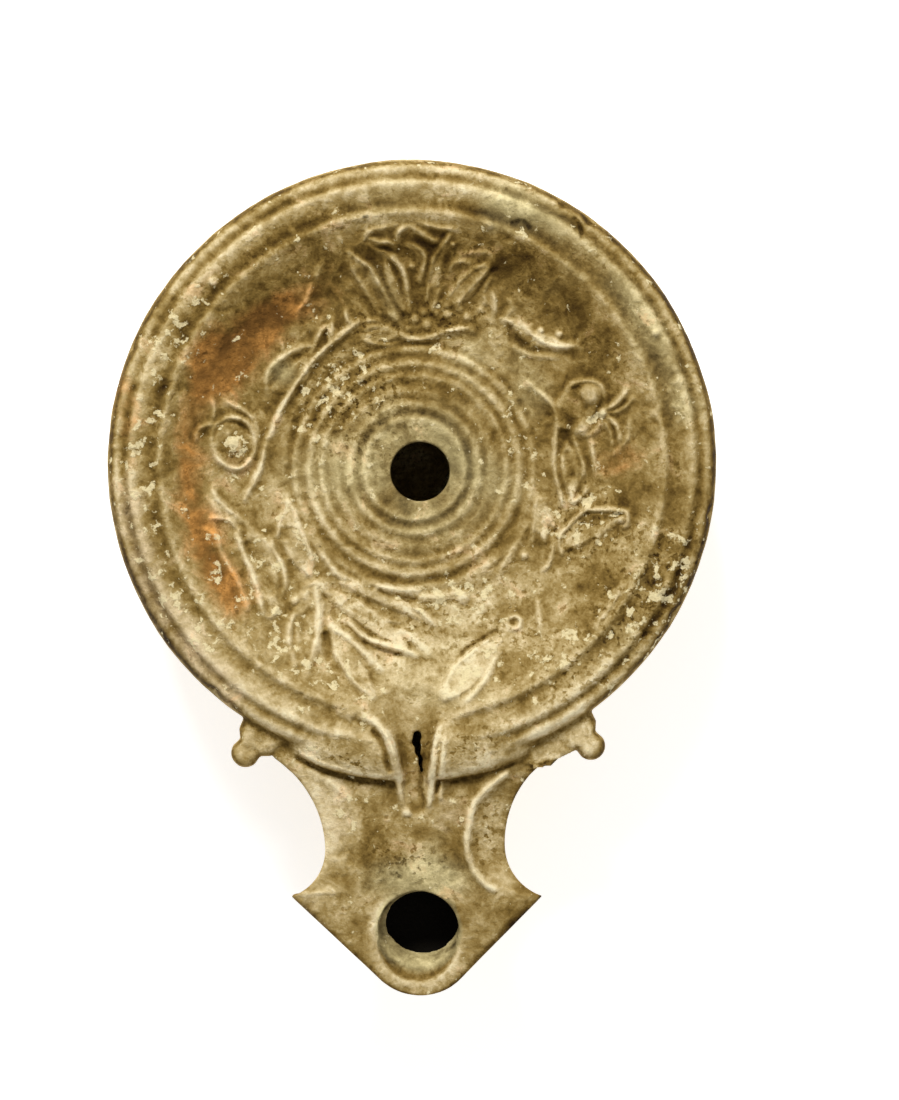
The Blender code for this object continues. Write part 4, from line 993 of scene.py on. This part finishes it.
    def spread(self, mesh: bpy.types.Mesh, places: np.ndarray, relief: np.ndarray, nozzle: Nozzle,
               hole: Point) -> None:
        """Writes each stain, and the painted shade and light, to the mesh as an attribute of its points.

        Args:
            mesh: The lamp's finished mesh.
            places: Its points, in millimetres.
            relief: How far each point stands above or below its neighbourhood, in millimetres, written as painted shade
                in hollows and painted highlights on crests.
            nozzle: The nozzle, whose wick hole is sooty and darkened with painted shade, and whose edges get painted
                shade.
            hole: The filling hole's place.
        """
        x, y, z = places.T
        on_top = smooth(19.0, 22.0, z)
        fields = {stain: np.zeros(len(x)) for stain in StainAndShade}
        for stain, covers in self.covers:
            for part in covers:
                fields[stain] += part.cover(x, y) * on_top
        from_hole = np.hypot(x - hole[0], y - hole[1])
        # Painted shade: the filling hole's well is darkened to near black.
        fields[StainAndShade.SOOT_AND_PAINTED_SHADE] += smooth(6.5, 4.6, from_hole) * smooth(23.6, 21.5, z) * (z > 3.0)
        wick = nozzle.wick_centre()
        from_wick = np.hypot(x - wick[0], y - wick[1])
        outs = np.linspace(16.0, nozzle.reach, 60)
        halves = np.array([nozzle.half(out) for out in outs])
        out = -y - nozzle.body_radius
        margin = np.interp(out, outs, halves) - np.abs(x - nozzle.lean * out)
        inside = (z > np.interp(out, outs, [nozzle.bottom(at) for at in outs]) + 1.8) & (margin > 3.0)
        inside &= np.abs(x - wick[0]) < 8.0
        # Sooty wick, and painted shade: the nozzle's hollow under the wick hole is darkened to near black.
        fields[StainAndShade.SOOT_AND_PAINTED_SHADE] += smooth(14.0, 9.0, from_wick) * smooth(20.8, 18.4, z) * inside
        # Painted shade: a darker band along the nozzle's edges beyond its horns, where they face away from the key
        # light.
        fields[StainAndShade.UMBER_AND_PAINTED_SHADE] += 0.4 * smooth(1.3, 0.3, margin) * smooth(16.8, 18.0, out) * on_top
        fields[StainAndShade.GREEN] += 0.8 * smooth(6.4, 5.6, from_wick) * on_top
        # Painted shade and highlight: hollows darker and crests lighter, from the relief.
        fields[StainAndShade.PAINTED_RELIEF_SHADING] = 0.5 + relief
        for stain, values in fields.items():
            layer = mesh.attributes.new(stain.value, "FLOAT", "POINT")
            layer.data.foreach_set("value", np.clip(values, 0.0, 1.0).astype(np.float32))


class Bench:
    """Builds a material's nodes in a few words each."""

    def __init__(self, name: str) -> None:
        """Starts an empty node material with its shader and output."""
        self.material = bpy.data.materials.new(name)
        self.material.use_nodes = True
        self.tree = self.material.node_tree
        self.shader = self.tree.nodes["Principled BSDF"]
        self.place = self.tree.nodes.new("ShaderNodeTexCoord").outputs["Object"]

    def join(self, value: object, socket: bpy.types.NodeSocket) -> None:
        """Links an output to a socket, or sets the socket to a plain value."""
        if isinstance(value, bpy.types.NodeSocket):
            self.tree.links.new(value, socket)
        else:
            socket.default_value = value

    def node(self, kind: str, inputs: dict[str, object]) -> bpy.types.Node:
        """Adds a node of a kind and joins its named inputs to outputs or plain values."""
        node = self.tree.nodes.new(f"ShaderNode{kind}")
        for name, value in inputs.items():
            self.join(value, node.inputs[name])
        return node

    def noise(self, size: float, detail: float = 4.0, rough: float = 0.55, shift: float = 0.0,
              warp: float = 0.0) -> bpy.types.NodeSocket:
        """Noise whose largest features are about a size in millimetres, shifted off other textures of its kind."""
        moved = self.node("Mapping", {"Location": (shift, -0.7 * shift, 0.3 * shift), "Vector": self.place})
        return self.node("TexNoise", {"Vector": moved.outputs["Vector"], "Scale": 1000.0 / size, "Detail": detail,
                                      "Roughness": rough, "Distortion": warp}).outputs["Fac"]

    def stain(self, stain: StainAndShade) -> bpy.types.NodeSocket:
        """A stain's attribute."""
        node = self.node("Attribute", {})
        node.attribute_name = stain.value
        return node.outputs["Fac"]

    def step(self, value: bpy.types.NodeSocket, low: float, high: float, to_low: float = 0.0,
             to_high: float = 1.0) -> bpy.types.NodeSocket:
        """Spreads a range of values over another, clamped at both ends."""
        return self.node("MapRange", {"Value": value, "From Min": low, "From Max": high, "To Min": to_low,
                                      "To Max": to_high}).outputs["Result"]

    def swing(self, value: bpy.types.NodeSocket, most: float, low: float = 0.3,
              high: float = 0.7) -> bpy.types.NodeSocket:
        """Spreads a texture's usual range evenly to both sides of nothing."""
        return self.step(value, low, high, -most, most)

    def effect(self, stain: StainAndShade, most: float, low: float = 0.0) -> bpy.types.NodeSocket:
        """What a stain adds, from nothing up to the most."""
        return self.step(self.stain(stain), low, 1.0, 0.0, most)

    def math(self, operation: str, a: object, b: object) -> bpy.types.NodeSocket:
        """One sum on two values."""
        node = self.node("Math", {})
        node.operation = operation
        self.join(a, node.inputs[0])
        self.join(b, node.inputs[1])
        return node.outputs["Value"]

    def total(self, *values: bpy.types.NodeSocket) -> bpy.types.NodeSocket:
        """The sum of several values."""
        result = values[0]
        for value in values[1:]:
            result = self.math("ADD", result, value)
        return result

    def tones(self, value: bpy.types.NodeSocket, stops: tuple[tuple[float, Colour], ...]) -> bpy.types.NodeSocket:
        """A colour read from a row of tones."""
        node = self.node("ValToRGB", {"Fac": value})
        ramp = node.color_ramp
        while len(ramp.elements) < len(stops):
            ramp.elements.new(0.5)
        for element, (place, colour) in zip(ramp.elements, stops):
            element.position = place
            element.color = (*colour, 1.0)
        return node.outputs["Color"]

    def mix(self, share: object, a: object, b: object, how: str = "MIX") -> bpy.types.NodeSocket:
        """A mix of two colours."""
        node = self.node("Mix", {})
        node.data_type = "RGBA"
        node.blend_type = how
        self.join(share, node.inputs[0])
        for socket, value in zip([s for s in node.inputs if s.type == "RGBA"], (a, b)):
            self.join((*value, 1.0) if isinstance(value, tuple) else value, socket)
        return [s for s in node.outputs if s.type == "RGBA"][0]


@dataclass(frozen=True)
class ClayFinish:
    """Olive-beige fired clay with painted highlights on its crests, painted shade in its hollows and holes, umber and
    pale tints that are partly painted shade and light, iron stains and lime.
    """

    name: str = "old_fired_clay"
    tones: tuple[tuple[float, Colour], ...] = (
        (0.0, (0.030, 0.014, 0.002)), (0.22, (0.105, 0.060, 0.011)), (0.40, (0.225, 0.141, 0.034)),
        (0.54, (0.345, 0.238, 0.080)), (0.68, (0.500, 0.375, 0.170)), (0.83, (0.700, 0.560, 0.310)),
        (1.0, (0.880, 0.760, 0.480)))
    rust: Colour = (0.30, 0.134, 0.028)
    green: Colour = (0.36, 0.31, 0.15)
    blush: Colour = (0.60, 0.45, 0.27)
    lime: Colour = (0.82, 0.70, 0.40)
    soot_and_shade: Colour = (0.010, 0.008, 0.005)
    sheen: float = 0.08
    bump: float = 0.65
    bump_depth: float = 0.4

    def make(self) -> bpy.types.Material:
        """Builds the material."""
        bench = Bench(self.name)
        broad = bench.noise(17.0, detail=3.0, warp=0.5)
        patchy = bench.noise(4.6, rough=0.6, shift=0.11, warp=0.6)
        mottled = bench.noise(1.5, rough=0.7, shift=0.23, warp=0.3)
        grain = bench.noise(0.55, detail=3.0, rough=0.7, shift=0.31)
        coarse = bench.total(bench.stain(StainAndShade.COARSE), bench.step(patchy, 0.42, 0.7, 0.0, 0.8))
        pocks = bench.step(bench.noise(0.9, detail=2.0, shift=0.61), 0.36, 0.44, -0.26, 0.0)
        pits = bench.math("MULTIPLY", pocks, coarse)
        speckle = bench.math("MULTIPLY", bench.swing(grain, 0.08), bench.step(coarse, 0.0, 1.0, 0.5, 1.5))
        # The tone holds painted light: the relief lightens crests and darkens hollows, the umber is partly painted
        # shade towards the top, and the pale tint is partly painted light towards the bottom and on the rim.
        tone = bench.total(
            bench.step(broad, 0.3, 0.7, 0.45, 0.66), bench.swing(patchy, 0.20), bench.swing(mottled, 0.14, 0.28, 0.72),
            speckle, pits, bench.swing(bench.stain(StainAndShade.PAINTED_RELIEF_SHADING), 0.31, 0.15, 0.85), bench.effect(StainAndShade.PALE_AND_PAINTED_LIGHT, 0.40),
            bench.effect(StainAndShade.UMBER_AND_PAINTED_SHADE, -0.30), bench.effect(StainAndShade.RUST, -0.13, 0.3))
        colour = bench.tones(tone, self.tones)

        for stain, tint, edge, most in ((StainAndShade.GREEN, self.green, broad, 0.6), (StainAndShade.BLUSH, self.blush, patchy, 0.6),
                                        (StainAndShade.RUST, self.rust, patchy, 0.9)):
            cover = bench.total(bench.stain(stain), bench.swing(edge, 0.3))
            colour = bench.mix(bench.step(cover, 0.15, 0.68, 0.0, most), colour, tint, "COLOR")
        dark_spots = bench.step(mottled, 0.35, 0.6, 0.35, 0.0)
        ember = bench.math("MULTIPLY", bench.effect(StainAndShade.RUST, 1.0, 0.4), dark_spots)
        colour = bench.mix(ember, colour, self.rust)

        flakes = bench.noise(1.7, rough=0.62, shift=0.47, warp=0.1)
        crumb = bench.total(flakes, bench.effect(StainAndShade.LIME, 0.22), bench.swing(patchy, 0.03))
        lime = bench.step(crumb, 0.645, 0.69)
        colour = bench.mix(bench.math("MULTIPLY", lime, bench.step(grain, 0.3, 0.6, 0.55, 0.95)), colour, self.lime)
        # Sooty wick spots, and painted shade: the filling hole's well and the nozzle's hollow are mixed to near black.
        soot_and_shade = bench.total(bench.stain(StainAndShade.SOOT_AND_PAINTED_SHADE), bench.swing(mottled, 0.15))
        colour = bench.mix(bench.step(soot_and_shade, 0.3, 0.8), colour, self.soot_and_shade)

        shader = bench.shader
        bench.join(colour, shader.inputs["Base Color"])
        bench.join(bench.step(patchy, 0.3, 0.7, 0.74, 0.94), shader.inputs["Roughness"])
        shader.inputs["Specular IOR Level"].default_value = self.sheen
        height = bench.total(bench.step(mottled, 0.2, 0.8, 0.0, 0.5), bench.step(grain, 0.2, 0.8, 0.0, 0.4), pits,
                             bench.step(lime, 0.0, 1.0, 0.0, 0.2))
        bump = bench.node("Bump", {"Strength": self.bump, "Distance": self.bump_depth * MM, "Height": height})
        bench.join(bump.outputs["Normal"], shader.inputs["Normal"])
        return bench.material


def read_places(mesh: bpy.types.Mesh) -> np.ndarray:
    """The points of a mesh, in millimetres."""
    flat = np.zeros(len(mesh.vertices) * 3, np.float32)
    mesh.vertices.foreach_get("co", flat)
    return flat.reshape(-1, 3).astype(float) / MM


def write_places(mesh: bpy.types.Mesh, places: np.ndarray) -> None:
    """Moves the points of a mesh to places in millimetres."""
    mesh.vertices.foreach_set("co", (places * MM).astype(np.float32).ravel())
    mesh.update()


class Relief:
    """How far the top stands above or below its neighbourhood, kept on a grid of cells, for the finish's painted shade
    in hollows and painted highlights on crests.
    """

    LOW = (-48.0, -80.0)
    CELLS = (440, 600)
    DATUM = 20.0
    LEAST = 20.6

    def __init__(self, places: np.ndarray, cell: float = 0.22, near: float = 0.15, far: float = 0.85) -> None:
        """Averages the heights of the top's points over near and far neighbourhoods, in millimetres."""
        self.cell = cell
        shape = self.CELLS
        top = places[places[:, 2] > self.LEAST]
        edges = [low + cell * np.arange(cells + 1) for low, cells in zip(self.LOW, shape)]
        count = np.histogram2d(top[:, 0], top[:, 1], edges)[0]
        total = np.histogram2d(top[:, 0], top[:, 1], edges, weights=top[:, 2] - self.DATUM)[0]
        level = total / np.maximum(count, 1)
        known = (count > 0).astype(float)
        means = []
        for spread in (near, far):
            fu = np.fft.fftfreq(shape[0], cell)[:, None]
            fv = np.fft.fftfreq(shape[1], cell)[None, :]
            blur = np.exp(-2 * (math.pi * spread) ** 2 * (fu * fu + fv * fv))
            heights, share = [np.real(np.fft.ifft2(np.fft.fft2(values) * blur)) for values in (level * known, known)]
            means.append(heights / np.maximum(share, 0.05))
        self.grid = np.clip(means[0] - means[1], -0.5, 0.5) * known

    def at(self, places: np.ndarray) -> np.ndarray:
        """The relief at each place, and none below the top."""
        u = np.clip((places[:, 0] - self.LOW[0]) / self.cell - 0.5, 0, self.grid.shape[0] - 2)
        v = np.clip((places[:, 1] - self.LOW[1]) / self.cell - 0.5, 0, self.grid.shape[1] - 2)
        column, row = u.astype(int), v.astype(int)
        fu, fv = u - column, v - row
        low = self.grid[column, row] * (1 - fu) + self.grid[column + 1, row] * fu
        high = self.grid[column, row + 1] * (1 - fu) + self.grid[column + 1, row + 1] * fu
        return (low * (1 - fv) + high * fv) * smooth(21.0, 22.5, places[:, 2])


@dataclass
class OilLamp:
    """The whole vessel, joined and pressed as one piece of clay."""

    bowl: Bowl = field(default_factory=Bowl)
    rings: TurnedRings = field(default_factory=TurnedRings)
    nozzle: Nozzle = field(default_factory=Nozzle)
    channel: Channel = field(default_factory=Channel)
    knobs: tuple[Knob, ...] = (Knob("knob_left", 240.0, -11.0), Knob("knob_right", 302.4, 11.0))
    reliefs: tuple[Wreath | Scrolls | Wear, ...] = (Wreath(), Scrolls(), Wear())
    chips: tuple[Chip, ...] = (
        Chip((24.6, 33.6, 26.6), 0.9, 0.45), Chip((20.8, 35.8, 27.0), 0.8, 0.35), Chip((-27.6, -31.6, 26.0), 1.2, 0.5),
        Chip((-25.2, -33.4, 26.4), 0.8, 0.45), Chip((41.0, -7.0, 26.0), 1.0, 0.3), Chip((-38.6, 16.0, 26.4), 0.9, 0.35),
        Chip((36.2, -20.6, 26.2), 1.0, 0.35), Chip((-16.6, -59.6, 22.0), 0.8, 0.4))
    patina_and_shade: PatinaAndShade = field(default_factory=PatinaAndShade)
    grain: float = 0.22
    faces: int = 190000

    def join(self) -> bpy.types.Mesh:
        """Joins the forms, cuts the hollows and holes, and takes the clay's skin at an even grain.

        Returns:
            The closed skin, fine enough to press the relief into.
        """
        bench = Workbench()
        body = self.bowl.build(bench)
        bench.groups["forms"].objects.unlink(body)
        bpy.context.scene.collection.objects.link(body)
        self.rings.build(bench)
        self.nozzle.build(bench)
        self.channel.build(bench)
        for knob in self.knobs:
            knob.build(bench, self.bowl.radius)
        for group, operation in (("forms", "UNION"), ("hollows", "DIFFERENCE"), ("holes", "DIFFERENCE"),
                                 ("ridges", "UNION")):
            modifier = body.modifiers.new(group, "BOOLEAN")
            modifier.operation = operation
            modifier.operand_type = "COLLECTION"
            modifier.collection = bench.groups[group]
            modifier.solver = "EXACT"
        remesh = body.modifiers.new("even_grain", "REMESH")
        remesh.mode = "VOXEL"
        remesh.voxel_size = self.grain * MM
        skin = bpy.data.meshes.new_from_object(body.evaluated_get(bpy.context.evaluated_depsgraph_get()))
        bpy.data.objects.remove(body)
        bench.clear()
        LOG.info("joined clay: %d points", len(skin.vertices))
        return skin

    def pressable(self, x: np.ndarray, y: np.ndarray, z: np.ndarray, upward: np.ndarray) -> np.ndarray:
        """How much of the relief each point takes: all of it on the top, and none on walls, in holes or below."""
        weight = smooth(0.35, 0.75, upward) * smooth(21.5, 22.5, z)
        holes = ((self.nozzle.wick_centre(), 6.0, 7.4), (self.rings.hole_centre, 4.9, 5.6))
        for (hole_x, hole_y), bare, full in holes:
            weight *= smooth(bare, full, np.hypot(x - hole_x, y - hole_y))
        on_nozzle = y < -38.0
        return weight * np.where(on_nozzle, 1.0, smooth(42.0, 41.3, np.hypot(x, y)))

    def press(self, skin: bpy.types.Mesh) -> np.ndarray:
        """Presses the relief and the wear into the top of the skin, and lets its side wander a little.

        Args:
            skin: The joined clay, changed in place.

        Returns:
            The points of the pressed skin that look up, in millimetres.
        """
        places = read_places(skin)
        normals = np.zeros(len(places) * 3, np.float32)
        skin.vertex_normals.foreach_get("vector", normals)
        upward = normals.reshape(-1, 3)[:, 2]
        x, y, z = places.T
        weight = self.pressable(x, y, z, upward)
        top = np.nonzero(weight > 0.0)[0]
        clay = Pressing(x[top], y[top])
        for relief in self.reliefs:
            relief.press(clay)
        places[top, 2] += weight[top] * (clay.raised - clay.sunk)
        out = np.hypot(x, y)
        side = smooth(34.0, 38.0, out) * smooth(0.6, 0.1, np.abs(upward))
        turn = np.degrees(np.arctan2(y, x))
        waves = 0.10 * mottle(turn, z, 14.0, 41) + 0.05 * mottle(turn, z, 3.0, 42, 2)
        wobble = 1.0 + side * waves / np.maximum(out, 1.0)
        places[:, 0] *= wobble
        places[:, 1] *= wobble
        for chip in self.chips:
            chip.knock(places)
        write_places(skin, places)
        return places[upward > 0.3]

    def thin(self, skin: bpy.types.Mesh) -> bpy.types.Object:
        """Makes the piece from the skin, with fewer faces where the clay is plain."""
        rough = bpy.data.objects.new("rough_clay", skin)
        bpy.context.scene.collection.objects.link(rough)
        faces = sum(len(polygon.vertices) - 2 for polygon in skin.polygons)
        fewer = rough.modifiers.new("fewer_faces", "DECIMATE")
        fewer.ratio = min(1.0, self.faces / faces)
        mesh = bpy.data.meshes.new_from_object(rough.evaluated_get(bpy.context.evaluated_depsgraph_get()))
        bpy.data.objects.remove(rough)
        mesh.name = "lamp_clay"
        lamp = bpy.data.objects.new("lamp_clay", mesh)
        bpy.context.scene.collection.objects.link(lamp)
        mesh.polygons.foreach_set("use_smooth", [True] * len(mesh.polygons))
        LOG.info("lamp_clay: %d faces", len(mesh.polygons))
        return lamp

    def build(self) -> bpy.types.Object:
        """Builds the lamp and spreads its stains and its painted shade and light.

        Returns:
            The finished piece, still without its material.
        """
        skin = self.join()
        pressed = self.press(skin)
        relief = Relief(pressed)
        lamp = self.thin(skin)
        places = read_places(lamp.data)
        self.patina_and_shade.spread(lamp.data, places, relief.at(places), self.nozzle, self.rings.hole_centre)
        return lamp

    def dress(self, lamp: bpy.types.Object) -> None:
        """Gives the lamp its finish and ties it to the frame."""
        lamp.data.materials.clear()
        lamp.data.materials.append(ClayFinish().make())
        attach(lamp, "root")
        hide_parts("oil_lamp")


@dataclass(frozen=True)
class Studio:
    """A pale ground, soft light from beyond the lamp's top edge, and a camera straight above."""

    centre: Point = (5.16, -11.84)
    frame_height: float = 151.5
    level: float = 26.0
    camera_height: float = 1500.0
    sensor: float = 24.0
    ground_size: float = 1.5
    ground_glow: float = 0.62
    sky: float = 0.40
    aim: Place = (0.0, -0.01, 0.02)

    def build(self) -> None:
        """Sets up the ground, the lights and the camera, all in metres but for the frame's own sizes."""
        bm = bmesh.new()
        bmesh.ops.create_grid(bm, x_segments=2, y_segments=2, size=self.ground_size)
        mesh = bpy.data.meshes.new("ground")
        bm.to_mesh(mesh)
        bm.free()
        ground = bpy.data.objects.new("ground", mesh)
        bpy.context.scene.collection.objects.link(ground)
        paper = bpy.data.materials.new("pale_ground")
        paper.use_nodes = True
        shader = paper.node_tree.nodes["Principled BSDF"]
        shader.inputs["Base Color"].default_value = (0.9, 0.9, 0.9, 1.0)
        shader.inputs["Roughness"].default_value = 0.9
        shader.inputs["Emission Color"].default_value = (1.0, 1.0, 1.0, 1.0)
        shader.inputs["Emission Strength"].default_value = self.ground_glow
        mesh.materials.append(paper)

        world = bpy.data.worlds.new("studio")
        world.use_nodes = True
        sky = world.node_tree.nodes["Background"]
        sky.inputs["Color"].default_value = (1.0, 1.0, 1.0, 1.0)
        sky.inputs["Strength"].default_value = self.sky
        bpy.context.scene.world = world
        self.light("key", (-0.15, 0.62, 0.66), size=0.3, power=7.5)
        self.light("fill", (0.5, -0.5, 0.8), size=0.6, power=0.9)

        camera = bpy.data.cameras.new("camera")
        camera.sensor_fit = "VERTICAL"
        camera.sensor_height = self.sensor
        camera.lens = self.sensor * (self.camera_height - self.level) / self.frame_height
        camera.clip_end = 10.0
        watcher = bpy.data.objects.new("camera", camera)
        watcher.location = (self.centre[0] * MM, self.centre[1] * MM, self.camera_height * MM)
        bpy.context.scene.collection.objects.link(watcher)
        bpy.context.scene.camera = watcher
        bpy.context.scene.view_settings.view_transform = "Standard"

    def light(self, name: str, place: Place, size: float, power: float) -> None:
        """Adds a soft square light that looks at the lamp."""
        data = bpy.data.lights.new(name, "AREA")
        data.size = size
        data.energy = power
        lamp = bpy.data.objects.new(name, data)
        aim = np.array(place) - np.array(self.aim)
        lamp.location = place
        lamp.rotation_euler = (math.acos(aim[2] / np.linalg.norm(aim)), 0.0, math.atan2(aim[1], aim[0]) + math.pi / 2)
        bpy.context.scene.collection.objects.link(lamp)


def main() -> None:
    """Builds the studio and the lamp."""
    logging.basicConfig(level=logging.INFO, format="%(name)s: %(message)s")
    Studio().build()
    LOG.info("studio ready")
    lamp = OilLamp()
    piece = lamp.build()
    lamp.dress(piece)
    LOG.info("lamp ready")


if __name__ == "__main__":
    main()
